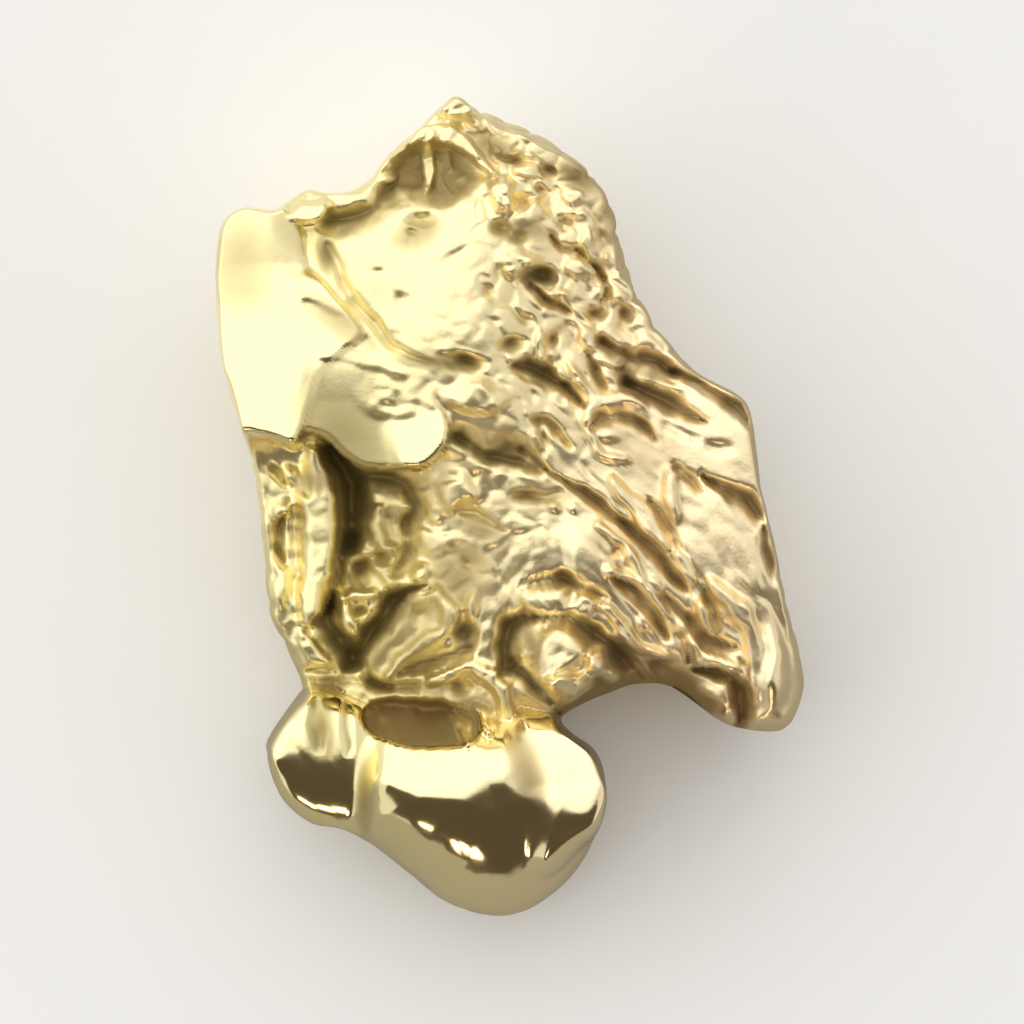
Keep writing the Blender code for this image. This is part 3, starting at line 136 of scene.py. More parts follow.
# The folded slab and the knuckle under it: outline, then the width and drop of the soft shoulder and
# of the steep wall below it.
SLAB = (
    ((-7.8, 7.5), (-6.4, 8.0), (-5.5, 7.5), (-5.1, 6.9), (-4.95, 6.2), (-4.4, 5.5), (-3.9, 4.9),
     (-3.6, 4.3), (-4.3, 3.7), (-4.68, 3.2), (-4.85, 2.6), (-5.05, 1.85), (-5.3, 1.55), (-5.8, 1.7),
     (-6.4, 1.85), (-7.8, 2.1)),
    (0.35, 0.08), (0.16, 1.6),
)
KNUCKLE = (
    ((-5.2, 3.9), (-4.4, 4.3), (-3.4, 4.3), (-2.75, 3.85), (-2.2, 3.2), (-1.75, 2.7), (-1.5, 2.2),
     (-1.55, 1.6), (-2.1, 1.05), (-2.7, 0.98), (-3.6, 1.0), (-4.1, 1.3), (-4.6, 1.75),
     (-5.25, 2.0), (-5.5, 2.8)),
    (0.3, 0.05), (0.15, 2.4),
)
SLAB_HEIGHT = 6.88
SLAB_LEAN = (0.06, -6.0)  # it rises towards +x at this rate, and has its height at this x
SLAB_BEND = (4.5, 0.16, 0.25)  # below this y it rises at this rate, past a bend this soft
SLAB_CORNER = ((-7.2, 0.1), (-5.95, 0.2))  # past these x its upper end falls away at these rates
SLAB_UPPER_END = (5.5, 6.1)  # the corner starts between these y
KNUCKLE_HEIGHT = 6.63
KNUCKLE_CREASE = ((-3.2, 3.5), (-3.3, 2.7), (-3.05, 1.7), (-2.8, 1.0))
KNUCKLE_SIDES = (0.26, 0.20)  # how steeply it rises left and right of its crease
KNUCKLE_CREASE_WIDTH = 0.25  # to each side of it
KNUCKLE_TOP = (3.5, 0.4, 0.06)  # above this y it falls away at this rate, past a bend this soft
KNUCKLE_LEAN = (0.1, -0.14, 2.4)  # how much its left and right facets rise towards +y, and about which y

# Round lobes: outline, crown line, height of the edge and of the crown, and how square the side is.
BEAN = (
    ((-3.6, -4.75), (-3.2, -4.6), (-2.6, -4.6), (-1.7, -4.65), (-1.0, -4.6), (-0.4, -4.7),
     (0.3, -4.8), (0.9, -4.95), (1.4, -5.25), (1.8, -5.62), (2.15, -6.1), (2.33, -7.0), (2.08, -8.0),
     (1.5, -9.0), (0.5, -9.8), (-0.5, -10.0), (-1.6, -9.7), (-2.5, -9.0), (-3.4, -8.3),
     (-4.0, -7.9), (-4.0, -6.8)),
    ((-3.0, -6.55), (-2.2, -6.82), (-1.2, -6.85), (-0.6, -6.5), (-0.2, -6.45)), 3.0, 6.2, 1.85,
)
KNOB = (
    ((0.0, -4.85), (0.7, -4.9), (1.25, -5.1), (1.9, -5.5), (2.3, -6.1), (2.48, -7.0), (2.25, -7.75),
     (1.65, -8.35), (1.15, -8.85), (0.7, -9.0), (0.3, -8.6), (0.1, -7.8), (-0.1, -6.5)),
    ((1.35, -5.6), (1.9, -6.1), (2.1, -6.6), (1.75, -7.25)), 3.0, 6.05, 3.2,
)
BALL = (
    ((-5.0, -4.3), (-4.2, -4.5), (-3.2, -5.1), (-2.7, -6.4), (-2.9, -7.6), (-3.8, -8.0),
     (-5.0, -7.72), (-5.75, -7.02), (-6.07, -6.0), (-5.98, -5.5), (-5.35, -4.55)),
    ((-5.7, -6.0), (-5.45, -5.5), (-4.8, -5.45), (-4.2, -5.4)), 3.4, 5.3, 2.8,
)
TOE = (
    ((5.6, -1.7), (6.45, -1.4), (6.75, -2.1), (7.1, -3.6), (7.17, -4.5), (6.75, -5.36), (5.95, -5.4),
     (5.75, -4.7), (5.7, -3.6), (5.6, -2.6)),
    ((6.2, -2.4), (6.5, -3.5), (6.35, -4.2)), 3.6, 5.75, 1.8,
)

LOBE_BLEND = 0.32  # how softly the lower lobes run together
LOBE_FALL = 0.045  # how fast a lobe's crown falls away from its middle, with the square of the distance

# Hollow under the peak, and the bowl above the lower lobe.
TOP_HOLLOW = (
    (-3.7, 7.6), (-3.3, 8.3), (-3.0, 8.7), (-2.6, 9.0), (-2.1, 9.1), (-1.6, 9.05), (-1.2, 8.85),
    (-0.75, 8.45), (-0.6, 8.1), (-0.9, 7.7), (-1.5, 7.4), (-2.2, 7.5), (-2.75, 7.55), (-3.2, 7.15),
    (-3.6, 6.9), (-4.1, 6.72), (-4.5, 6.85), (-4.85, 7.05), (-4.6, 7.4),
)
TOP_HOLLOW_DEPTH = (0.35, 0.48)  # on its right and on its left
TOP_HOLLOW_CHANGE = (-1.7, -2.2)  # the depth changes between these x
TOP_HOLLOW_RIM = (-0.1, 0.45, 0.4)  # how far inside its outline it starts and is full, and how raggedly
BOWL = (-2.25, -5.2, 1.5, 0.6, -6)  # x, y, half length, half width, turn in degrees
BOWL_DEPTH = 1.2
BOWL_POWER = 0.7  # of its profile

# Lumps: x, y, half length, half width, turn in degrees, height.
LUMPS = (
    # peak and upper right
    (-1.4, 9.9, 0.5, 0.3, -20, 0.35), (-3.05, 8.15, 0.25, 0.15, 10, 0.2), (-0.3, 8.92, 0.2, 0.15, 0, 0.12),
    (0.15, 8.92, 0.2, 0.13, 0, 0.12), (-0.3, 7.78, 0.3, 0.45, 0, 0.3), (0.5, 8.35, 0.42, 0.16, -10, 0.14),
    (1.45, 7.8, 0.35, 0.24, -30, 0.2), (1.6, 7.42, 0.32, 0.13, 0, 0.14), (0.5, 7.35, 0.42, 0.28, 10, 0.2),
    (1.92, 6.76, 0.18, 0.3, 0, 0.2), (0.2, 6.1, 0.5, 0.33, 0, 0.3), (1.75, 6.05, 0.45, 0.26, -10, 0.24),
    (1.2, 5.38, 0.36, 0.14, 0, 0.18), (2.6, 5.25, 0.28, 0.16, -25, 0.16), (0.7, 4.1, 0.13, 0.5, 0, 0.2),
    (1.8, 4.25, 0.22, 0.4, 0, 0.2), (1.62, 3.3, 0.5, 0.15, -52, 0.26), (2.5, 3.72, 0.35, 0.15, -15, 0.14),
    (3.25, 3.32, 0.25, 0.2, 0, 0.16), (-5.05, 7.45, 0.6, 0.32, 5, 0.6),
    # middle
    (-0.8, 2.8, 0.75, 0.38, 0, 0.32), (0.6, 1.75, 0.18, 0.28, 15, 0.22), (1.0, 0.12, 0.16, 0.14, 0, 0.12),
    (1.5, 0.1, 0.18, 0.14, 0, 0.12), (2.4, 1.95, 0.4, 0.2, 0, 0.12), (-1.4, 0.5, 0.5, 0.5, -20, 0.32),
    (-1.9, -0.05, 0.2, 0.2, 0, 0.12), (1.85, -1.3, 0.55, 1.0, 22, 0.2), (0.85, -2.2, 0.75, 0.36, -5, 0.3),
    (1.82, -2.3, 0.36, 0.4, 0, 0.26), (-0.97, -2.3, 0.13, 0.35, 0, 0.18), (-2.3, -1.55, 0.26, 0.22, 0, 0.2),
    (-2.0, -0.75, 0.45, 0.35, 0, 0.14),
    # hollow above the notch
    (1.1, -3.5, 0.68, 0.85, -25, 0.5), (0.3, -3.5, 0.2, 0.2, 0, 0.2), (2.1, -3.65, 0.32, 0.34, 0, 0.42),
    (1.35, -4.4, 0.56, 0.5, 30, 0.5),
    # left wall, flow lines and toe
    (-5.5, 0.88, 0.22, 0.25, 20, 0.2), (-5.7, 0.05, 0.3, 0.26, 20, 0.24), (-5.75, -1.9, 0.2, 0.6, 0, 0.2),
    (4.15, -2.8, 0.18, 0.25, 0, 0.14), (3.3, -2.7, 0.25, 0.22, 0, 0.12), (4.75, -4.45, 0.2, 0.15, 0, 0.08),
    (5.4, -5.1, 0.2, 0.25, 20, 0.22), (5.15, -2.55, 0.18, 0.14, 0, 0.12), (3.5, -1.8, 0.3, 0.2, -30, 0.16),
)

# Pits: x, y, half length, half width, turn in degrees, depth.
PITS = (
    # upper right
    (0.2, 8.7, 0.45, 0.13, -5, 0.32), (0.9, 8.38, 0.24, 0.15, -40, 0.32),
    (0.72, 7.88, 0.26, 0.17, -15, 0.35), (0.2, 7.62, 0.22, 0.2, 0, 0.27), (-0.3, 6.95, 0.3, 0.22, 0, 0.32),
    (0.15, 6.72, 0.3, 0.2, 0, 0.3), (1.4, 7.15, 0.36, 0.1, -5, 0.27), (0.7, 5.8, 0.55, 0.26, -8, 0.68),
    (2.0, 4.82, 0.26, 0.2, 0, 0.46), (2.75, 4.78, 0.25, 0.28, 20, 0.46),
    (-0.05, 4.05, 0.38, 0.24, 10, 0.45), (1.03, 4.18, 0.11, 0.22, 0, 0.27), (1.3, 6.95, 0.16, 0.1, 0, 0.19),
    (0.35, 4.75, 0.3, 0.14, 0, 0.14), (-2.2, 7.2, 0.4, 0.2, 0, 0.22), (-2.45, 6.85, 0.2, 0.12, -30, 0.16),
    # plateau
    (-0.55, 5.4, 0.2, 0.2, 0, 0.19), (-2.7, 5.2, 0.22, 0.22, 0, 0.09), (-0.5, 4.7, 0.3, 0.13, 0, 0.08),
    (-3.3, 5.9, 0.2, 0.15, 0, 0.07), (-1.4, 6.3, 0.5, 0.12, 25, 0.07),
    # middle
    (-1.15, 3.68, 0.6, 0.24, -5, 0.54), (0.0, 1.4, 0.75, 0.5, -10, 0.5), (-1.2, 1.8, 0.5, 0.3, -10, 0.32),
    (0.85, 1.75, 0.35, 0.12, -60, 0.25), (5.1, 1.6, 0.32, 0.18, -10, 0.14),
    (0.35, 0.3, 0.38, 0.15, 0, 0.22), (2.6, -0.95, 0.2, 0.2, -40, 0.3), (-1.0, -1.35, 0.4, 0.4, 0, 0.19),
    # left recess and neck
    (-3.25, -1.12, 0.28, 0.16, 0, 0.38), (-3.65, -1.5, 0.3, 0.38, 0, 0.6),
    (-3.7, -2.45, 0.22, 0.18, 0, 0.4), (-1.2, -3.15, 0.34, 0.5, 0, 0.55), (-1.3, -4.4, 0.32, 0.26, 0, 0.43),
    (-2.2, -2.6, 0.3, 0.25, 0, 0.22),
)

# Ridges: height, and a path of x, y and half width.
RIDGES = (
    # peak and oval pit
    (0.5, ((-2.5, 9.2, 0.2), (-1.9, 9.4, 0.26), (-1.5, 9.3, 0.22), (-1.1, 9.0, 0.2), (-0.75, 8.65, 0.16),
           (-0.45, 8.3, 0.12))),
    (0.3, ((-2.05, 9.0, 0.15), (-2.0, 8.4, 0.2), (-2.1, 7.9, 0.15))),
    (0.16, ((1.9, 2.5, 0.14), (2.15, 2.78, 0.18), (2.7, 2.82, 0.18), (3.2, 2.6, 0.12))),
    (0.22, ((1.85, 2.3, 0.14), (1.93, 1.8, 0.16), (2.25, 1.42, 0.16), (2.8, 1.3, 0.12))),
    # flow lines
    (0.3, ((2.45, 0.75, 0.1), (2.95, 0.25, 0.22), (3.35, -0.3, 0.24), (3.75, -0.82, 0.12))),
    (0.26, ((3.85, 0.95, 0.14), (3.85, 0.4, 0.2), (3.95, -0.05, 0.12))),
    (0.22, ((4.0, -0.95, 0.08), (4.25, -1.25, 0.15), (4.5, -1.7, 0.08))),
    (0.08, ((5.0, 0.35, 0.15), (5.35, -0.4, 0.35), (5.7, -1.2, 0.35), (5.95, -1.8, 0.15))),
    (0.32, ((4.85, -1.7, 0.12), (5.25, -2.1, 0.22), (5.65, -2.5, 0.28), (5.95, -3.1, 0.28),
            (6.05, -3.7, 0.22), (6.02, -4.3, 0.2), (5.95, -4.7, 0.1))),
    (0.28, ((4.55, -2.25, 0.1), (4.75, -2.6, 0.18), (4.92, -2.95, 0.1))),
    (0.22, ((4.35, -3.15, 0.12), (4.6, -3.6, 0.2), (5.1, -3.75, 0.18), (5.5, -3.75, 0.12))),
    (0.22, ((2.1, -0.3, 0.1), (2.5, -0.7, 0.14), (3.0, -1.25, 0.15), (3.15, -1.65, 0.1))),
    (0.22, ((2.35, -1.5, 0.15), (2.9, -1.68, 0.13), (3.4, -2.05, 0.13), (3.75, -2.5, 0.08))),
    (0.32, ((2.3, -2.4, 0.16), (2.65, -2.8, 0.19), (3.05, -3.2, 0.16), (3.8, -3.6, 0.1))),
    # left wall, recess and neck
    (0.6, ((-4.95, 1.5, 0.2), (-4.78, 0.6, 0.48), (-4.65, -0.3, 0.58), (-4.78, -1.3, 0.52),
           (-4.9, -2.2, 0.4), (-5.05, -2.7, 0.2))),
    (0.32, ((-3.35, 0.05, 0.12), (-3.45, -0.4, 0.2), (-3.3, -0.8, 0.2), (-3.05, -0.95, 0.15))),
    (0.22, ((-3.4, -1.35, 0.12), (-3.1, -1.5, 0.2), (-2.95, -1.8, 0.12))),
    (0.32, ((-4.15, -2.0, 0.12), (-3.8, -2.02, 0.15), (-3.4, -2.0, 0.12))),
    (0.38, ((-4.12, -2.1, 0.12), (-4.05, -2.6, 0.18), (-4.0, -3.0, 0.15))),
    (0.36, ((-2.45, -2.15, 0.15), (-1.9, -1.98, 0.18), (-1.55, -2.4, 0.2), (-1.65, -2.85, 0.18),
            (-2.2, -3.15, 0.22), (-2.6, -3.5, 0.22), (-3.05, -3.95, 0.2))),
    (0.35, ((-2.0, -4.2, 0.15), (-1.5, -4.05, 0.2), (-0.95, -3.75, 0.22), (-0.5, -4.05, 0.24),
            (-0.22, -4.6, 0.24), (-0.05, -5.2, 0.2))),
    (0.25, ((-5.2, -3.1, 0.15), (-4.9, -3.5, 0.2), (-4.55, -3.75, 0.12))),
)

# Grooves: depth, and a path of x, y and half width.
GROOVES = (
    # the fold beside the slab, and the upper right
    (0.17, ((-4.5, 6.5, 0.16), (-4.2, 5.7, 0.18), (-3.8, 5.05, 0.2), (-3.4, 4.6, 0.18),
           (-3.0, 4.05, 0.16), (-2.5, 3.75, 0.14), (-2.0, 3.6, 0.1))),
    (0.42, ((1.0, 6.7, 0.1), (1.25, 6.45, 0.18), (1.7, 6.45, 0.12), (2.05, 6.2, 0.14), (2.3, 5.9, 0.15),
            (2.3, 5.5, 0.12), (2.25, 5.15, 0.12))),
    (0.42, ((0.5, 5.55, 0.12), (0.75, 5.3, 0.14), (1.1, 5.05, 0.14), (1.4, 4.9, 0.12))),
    (0.59, ((0.0, 3.55, 0.12), (0.35, 3.5, 0.26), (0.85, 3.35, 0.26), (1.3, 3.1, 0.18), (1.75, 2.65, 0.12))),
    (0.33, ((1.85, 3.85, 0.06), (2.1, 3.4, 0.16), (2.3, 3.1, 0.12))),
    (0.5, ((2.2, 4.2, 0.16), (2.55, 3.95, 0.24), (3.0, 3.7, 0.3), (3.5, 3.65, 0.26), (4.0, 3.35, 0.2))),
    (0.4, ((2.75, 3.5, 0.25), (2.95, 3.15, 0.25))),
    (0.6, ((2.9, 3.1, 0.2), (3.4, 2.85, 0.3), (3.95, 2.6, 0.32), (4.35, 2.35, 0.26), (4.7, 2.2, 0.12))),
    # middle
    (0.44, ((1.95, 2.1, 0.12), (2.2, 2.32, 0.2), (2.65, 2.35, 0.24), (3.1, 2.15, 0.2), (3.35, 1.95, 0.14),
            (3.6, 1.75, 0.08))),
    (0.34, ((0.5, 2.2, 0.1), (0.9, 2.15, 0.15), (1.2, 1.85, 0.13), (1.38, 1.55, 0.08))),
    (0.4, ((-1.4, 1.75, 0.15), (-0.8, 1.45, 0.24), (-0.1, 1.15, 0.26), (0.6, 0.92, 0.18))),
    (0.34, ((0.3, 1.45, 0.15), (0.55, 1.2, 0.18), (0.8, 0.95, 0.12))),
    (0.45, ((4.0, 3.45, 0.1), (4.6, 3.15, 0.18), (5.2, 2.8, 0.24), (5.6, 2.45, 0.26), (5.85, 2.1, 0.1))),
    (0.16, ((3.75, 2.1, 0.12), (4.2, 1.95, 0.2), (4.6, 1.8, 0.1))),
    (0.31, ((4.0, 1.1, 0.1), (4.35, 0.8, 0.2), (4.6, 0.5, 0.12))),
    (0.55, ((4.7, 0.92, 0.08), (5.1, 0.62, 0.16), (5.5, 0.34, 0.26), (5.85, 0.12, 0.3), (6.1, -0.2, 0.22))),
    (0.26, ((-1.2, 0.0, 0.15), (-0.8, -0.15, 0.2), (-0.2, -0.5, 0.1))),
    # flow lines
    (0.5, ((0.85, 0.88, 0.08), (1.3, 0.68, 0.12), (1.8, 0.45, 0.16), (2.25, 0.12, 0.17), (2.7, -0.3, 0.17),
            (3.1, -0.7, 0.18), (3.5, -1.05, 0.26), (3.82, -1.32, 0.25), (4.12, -1.68, 0.17),
            (4.37, -1.98, 0.08))),
    (0.26, ((0.1, 0.38, 0.12), (0.7, 0.3, 0.18), (1.2, 0.45, 0.1))),
    (0.29, ((3.4, 0.25, 0.06), (3.7, -0.15, 0.12), (3.9, -0.5, 0.1), (4.05, -0.85, 0.06))),
    (0.47, ((2.5, -1.75, 0.12), (2.9, -1.95, 0.24), (3.25, -2.3, 0.2), (3.6, -2.7, 0.14),
            (3.75, -3.1, 0.12))),
    (0.47, ((3.75, -2.05, 0.1), (4.15, -2.45, 0.16), (4.5, -2.85, 0.18), (4.85, -3.15, 0.26),
            (5.3, -3.3, 0.2), (5.6, -3.35, 0.1))),
    (0.31, ((4.75, -1.95, 0.06), (4.8, -2.25, 0.12), (5.05, -2.8, 0.14), (5.1, -3.0, 0.1))),
    (0.34, ((4.1, -3.0, 0.15), (4.3, -3.4, 0.15), (4.4, -3.8, 0.12))),
    (0.72, ((4.6, -4.0, 0.12), (5.0, -4.0, 0.18), (5.45, -4.15, 0.2), (5.65, -4.55, 0.3),
            (5.7, -5.0, 0.32), (5.7, -5.4, 0.25))),
    (0.39, ((6.25, -0.5, 0.1), (6.35, -1.0, 0.25), (6.45, -1.6, 0.15))),
    # above the notch
    (0.75, ((1.25, -5.15, 0.35), (2.2, -4.6, 0.6), (3.2, -4.27, 1.0), (4.1, -4.4, 0.9), (4.8, -4.9, 0.4))),
    (0.62, ((-0.25, -4.0, 0.2), (-0.2, -3.4, 0.32), (-0.05, -2.95, 0.35), (0.35, -2.75, 0.2),
           (0.95, -2.62, 0.15), (1.45, -2.75, 0.2), (1.85, -3.05, 0.26), (2.3, -3.4, 0.3),
           (2.8, -3.75, 0.35))),
    (0.6, ((0.0, -3.9, 0.2), (0.4, -4.15, 0.24), (0.75, -4.5, 0.24), (1.0, -4.85, 0.2))),
    (0.5, ((0.3, -1.88, 0.1), (0.8, -1.72, 0.2), (1.2, -1.68, 0.24), (1.7, -1.95, 0.16), (2.3, -2.2, 0.08))),
    (0.26, ((1.1, -3.95, 0.08), (1.35, -3.95, 0.12), (1.65, -3.95, 0.08))),
    (0.2, ((0.3, -4.8, 0.2), (0.8, -5.05, 0.25), (1.2, -5.15, 0.15))),
    # left recess, wall and neck
    (1.1, ((-4.5, 1.5, 0.25), (-4.15, 0.95, 0.42), (-3.95, 0.2, 0.45), (-3.95, -0.5, 0.42),
           (-4.0, -0.9, 0.3))),
    (0.62, ((-4.05, -0.8, 0.35), (-4.2, -1.3, 0.4), (-4.4, -1.8, 0.3), (-4.45, -2.4, 0.26))),
    (0.8, ((-4.45, -2.4, 0.2), (-4.55, -2.85, 0.34), (-4.3, -3.3, 0.38), (-4.0, -3.7, 0.3))),
    (0.5, ((-3.8, 0.8, 0.35), (-3.2, 0.72, 0.38), (-2.6, 0.6, 0.36), (-2.4, 0.1, 0.25), (-2.6, -0.3, 0.22))),
    (0.4, ((-2.6, -0.6, 0.2), (-2.6, -1.1, 0.24), (-2.8, -1.5, 0.2))),
    (0.9, ((-2.1, -1.9, 0.1), (-2.6, -2.08, 0.24), (-3.1, -2.45, 0.34), (-3.35, -2.9, 0.38),
           (-3.65, -3.4, 0.36), (-3.95, -3.95, 0.25))),
    (0.22, ((-5.4, 0.0, 0.1), (-5.32, -1.0, 0.15), (-5.3, -2.0, 0.16), (-5.05, -3.0, 0.14))),
    (0.3, ((-5.1, 1.5, 0.1), (-5.15, 1.0, 0.12), (-5.1, 0.5, 0.12))),
    (0.4, ((-3.7, -3.9, 0.2), (-3.4, -4.3, 0.24), (-3.0, -4.5, 0.18))),
    (0.34, ((-5.95, 1.1, 0.1), (-5.75, 0.9, 0.18), (-5.6, 0.6, 0.08))),
    (0.39, ((-5.65, -0.1, 0.08), (-5.75, -0.5, 0.18), (-5.75, -0.9, 0.2), (-5.7, -1.25, 0.1))),
    (0.5, ((-2.8, -4.05, 0.2), (-2.3, -3.85, 0.26), (-1.7, -3.7, 0.22), (-1.1, -3.45, 0.16))),
    (0.34, ((-4.9, -4.15, 0.12), (-4.2, -4.25, 0.18), (-3.3, -4.35, 0.2), (-2.4, -4.4, 0.18))),
    (0.34, ((-5.0, -3.95, 0.1), (-4.6, -3.9, 0.15), (-4.3, -4.0, 0.1))),
    (0.29, ((-4.35, -4.4, 0.12), (-4.2, -4.75, 0.16), (-4.15, -5.0, 0.1))),
)

# How the marks are made: the table, how much its heights or depths count, and the shares of a mark's half
# width between which it runs out.
MARKS = (
    (LUMPS, 1.0, 0.5, 1.25), (RIDGES, 1.0, 0.5, 1.25), (PITS, -1.1, -0.3, 1.3),
    (GROOVES, -1.31, -0.6, 1.3),
)

# Creases and folds on the finished forms, cut where the height is negative: height, and a path.
FOLDS = (
    (-0.035, ((-5.05, 6.05, 0.1), (-4.6, 5.6, 0.16), (-4.2, 5.2, 0.12))),
    (-0.05, ((-5.05, 5.1, 0.1), (-4.5, 4.75, 0.2), (-3.9, 4.4, 0.24), (-3.4, 4.05, 0.16))),
    (0.06, ((-4.7, 3.8, 0.12), (-3.9, 3.75, 0.16), (-3.3, 3.6, 0.18), (-2.7, 3.3, 0.12))),
    (0.36, ((-1.45, -5.05, 0.1), (-1.2, -5.35, 0.2), (-1.08, -5.6, 0.12))),
    (0.36, ((-0.95, -4.85, 0.08), (-0.7, -5.12, 0.18), (-0.58, -5.35, 0.1))),
    (0.05, ((-1.45, -7.95, 0.4), (-1.5, -8.25, 0.4))),
    (0.04, ((-5.45, -6.75, 0.35), (-5.4, -6.95, 0.35))),
    (-0.12, ((-4.85, -4.6, 0.12), (-4.8, -5.2, 0.22), (-4.75, -5.75, 0.14))),
    (-0.08, ((-4.15, -4.8, 0.12), (-4.1, -5.3, 0.16), (-4.0, -5.8, 0.1))),
)
FOLD_PROFILE = (1.3, 1.5)  # how far a fold reaches for its half width, and the power of its profile

# How rough the skin is: x, y, share of the full roughness.
ROUGHNESS = (
    (1.0, 7.0, 1.0), (2.0, 5.5, 1.0), (0.5, 5.0, 0.9), (-2.5, 5.8, 0.1), (-1.2, 6.8, 0.2), (-2.2, 8.3, 0.5),
    (-1.3, 4.8, 0.15), (0.0, 9.0, 0.9), (-0.5, 3.0, 0.6), (1.5, 3.5, 0.8), (3.5, 3.6, 0.8),
    (5.0, 2.0, 0.08), (2.6, 2.0, 0.4), (1.2, 1.5, 0.6), (-1.0, 0.0, 0.5), (1.6, -1.0, 0.12),
    (3.5, -1.0, 0.6), (5.2, -0.6, 0.2), (4.5, -2.6, 0.8), (5.6, -3.2, 0.5), (3.5, -3.2, 0.8),
    (1.2, -3.4, 0.35), (-1.0, -2.8, 0.6), (-3.0, -1.0, 0.7), (-4.5, -0.5, 0.3), (-5.5, -0.5, 0.25),
    (-5.4, -2.8, 0.5), (-2.4, -3.8, 0.4), (-0.8, -4.6, 0.2), (-0.2, -5.3, 0.0), (-4.6, -4.8, 0.2),
    (0.5, -5.4, 0.1), (-2.4, -5.2, 0.05), (-4.2, -5.8, 0.0), (-1.0, -7.5, 0.1), (-5.0, -6.5, 0.1),
    (1.6, -6.6, 0.1), (-6.0, 5.0, 0.1), (-7.1, 3.8, 0.05), (-6.4, 7.3, 0.05), (6.8, -4.0, 0.25),
)
ROUGH_REACH = 0.8
ROUGH_HOLLOWS = (0.5, 0.3, 0.8)  # how much rougher the skin gets in marks, between these depths

# How glossy the smooth forms are: x, y, share of full gloss.
FORM_GLOSS = (
    (-6.0, 5.0, 0.7), (-3.2, 2.6, 0.55), (-4.3, 4.6, 0.55), (6.4, -3.6, 0.5), (-5.0, -6.0, 1.0),
    (-2.8, -6.6, 1.0), (-0.8, -7.0, 1.0), (1.4, -6.8, 1.0),
)
SKIN_GLOSS = 0.3  # the same where the skin is least rough

# Red-brown painted shade and reflection: x, y, half length, half width, turn in degrees, strength. In the
# bowl it stands in for the red-brown that the gold mirrors of itself; by the notch and under the peak it is
# painted shade.
RED_SHADE_PATCHES = (
    (-2.7, -5.1, 1.1, 0.5, -8, 0.9), (-2.6, 8.2, 0.6, 0.5, 0, 0.35), (5.4, -4.6, 0.5, 0.5, 0, 0.4),
    (3.2, -4.0, 1.0, 0.35, -10, 0.3),
)
# Painted shade on the rough skin: patches where its colour darkens, in the same way.
SKIN_SHADE_PATCHES = (
    (-3.1, -0.8, 0.8, 1.5, 0, 0.5), (-2.6, -3.1, 1.7, 1.1, 30, 0.45), (-2.6, -4.35, 1.8, 0.4, 0, 0.5),
    (3.3, -3.9, 1.4, 0.5, -10, 0.35), (3.3, 3.5, 0.9, 0.5, -30, 0.4), (-0.3, 1.6, 1.3, 0.7, 0, 0.4),
    (-1.7, 8.4, 1.5, 0.8, -10, 0.25), (-5.75, -0.4, 0.3, 1.2, 0, 0.2), (0.3, -4.6, 0.9, 0.6, 0, 0.45),
    (-1.3, -1.6, 1.0, 0.9, -20, 0.75), (-0.8, -0.35, 1.0, 0.4, -20, 0.7), (0.6, 0.35, 1.0, 0.4, 0, 0.55),
    (1.6, 8.1, 0.7, 0.4, -40, 1.0), (2.3, 7.0, 0.4, 1.1, 10, 0.5), (0.2, 6.75, 0.9, 0.35, 0, 0.8),
    (-0.4, 8.85, 0.9, 0.5, -30, 0.8), (-4.5, -4.3, 0.6, 0.45, 0, 0.8), (-2.3, 6.7, 0.8, 0.45, 25, 0.6),
    (3.3, 1.5, 0.9, 1.3, 0, 0.3), (-4.5, 6.2, 0.3, 0.6, 10, 1.0), (-1.6, 7.6, 0.9, 0.3, 20, 0.6),
    (-1.8, 3.55, 1.2, 0.25, -8, 0.9), (-3.8, 6.95, 0.9, 0.25, 35, 0.8), (-4.9, 0.7, 0.6, 0.35, 0, 0.7),
    (-2.6, -2.4, 0.6, 0.3, 55, 0.8), (-3.2, -3.5, 0.9, 0.3, 50, 0.8), (-1.0, -4.7, 0.8, 0.25, -15, 0.9),
    (0.5, -3.3, 0.25, 0.8, 20, 0.9),
)
# The same on the smooth forms: painted shade and painted reflection of dimmer surroundings.
FORM_SHADE_PATCHES = (
    (-5.1, 6.6, 0.9, 0.5, -35, 0.3), (-6.5, 5.9, 0.9, 1.3, 0, 0.42), (-4.0, 1.8, 1.7, 1.0, -45, 0.7),
    (-4.6, 6.3, 0.35, 0.6, 10, 1.0), (0.35, -6.2, 1.1, 0.45, -72, 0.9), (-4.68, -5.3, 0.42, 0.9, 0, 1.0),
    (-4.1, 4.5, 1.2, 0.4, -35, 0.5), (-3.6, -6.9, 0.3, 1.2, 0, 0.9), (6.7, -4.7, 0.5, 0.7, 0, 0.3),
    (6.2, -2.4, 0.3, 0.6, 20, 0.2),
)
SHADE_DEPTHS = (0.03, 0.45)  # depths between which the colour darkens towards the shaded colour: painted shade in the marks, folds and bowl
WALL_SHADE_EDGES = (0.15, 0.8)  # how far down a smooth form's wall the colour darkens: painted shade under the rims
FOLD_SHADE = 3.0  # how much the folds count as depth

# Random heights and distances. A row is a cell size, a height or distance, and a seed; where a distance
# has a second direction, that takes the next seed.
ROUGH_SWELL = (1.1, 0.10, 8)
ROUGH_CELLS = ((0.62, 0.08, 5), (0.33, 0.015, 6))  # the two sizes of small lump
PIT_CELL = 0.55
PIT_SWELLS = ((PIT_CELL, 0.7, 14), (0.45 * PIT_CELL, 0.4, 15))
BACK_CELLS = ((1.7, 0.35, 20), (0.8, 0.16, 21))
BACK_STRAY = (1.5, 0.2, 22)
SIDE_SWELLS = ((1.5, 0.16, 30), (0.6, 0.05, 30))
SIDE_LUMPS = (0.75, 0.14, 31)
ROUNDING_SWELL = (0.7, 0.5, 33)
FLOW_STRAY = (0.5, 0.10, 3)
STRAY = ((0.8, 0.07, 1), (0.3, 0.035, 12))  # of the marks from their drawn places
RAGGED = ((0.42, 0.22, 16), (0.2, 0.06, 17))  # of the marks' edges

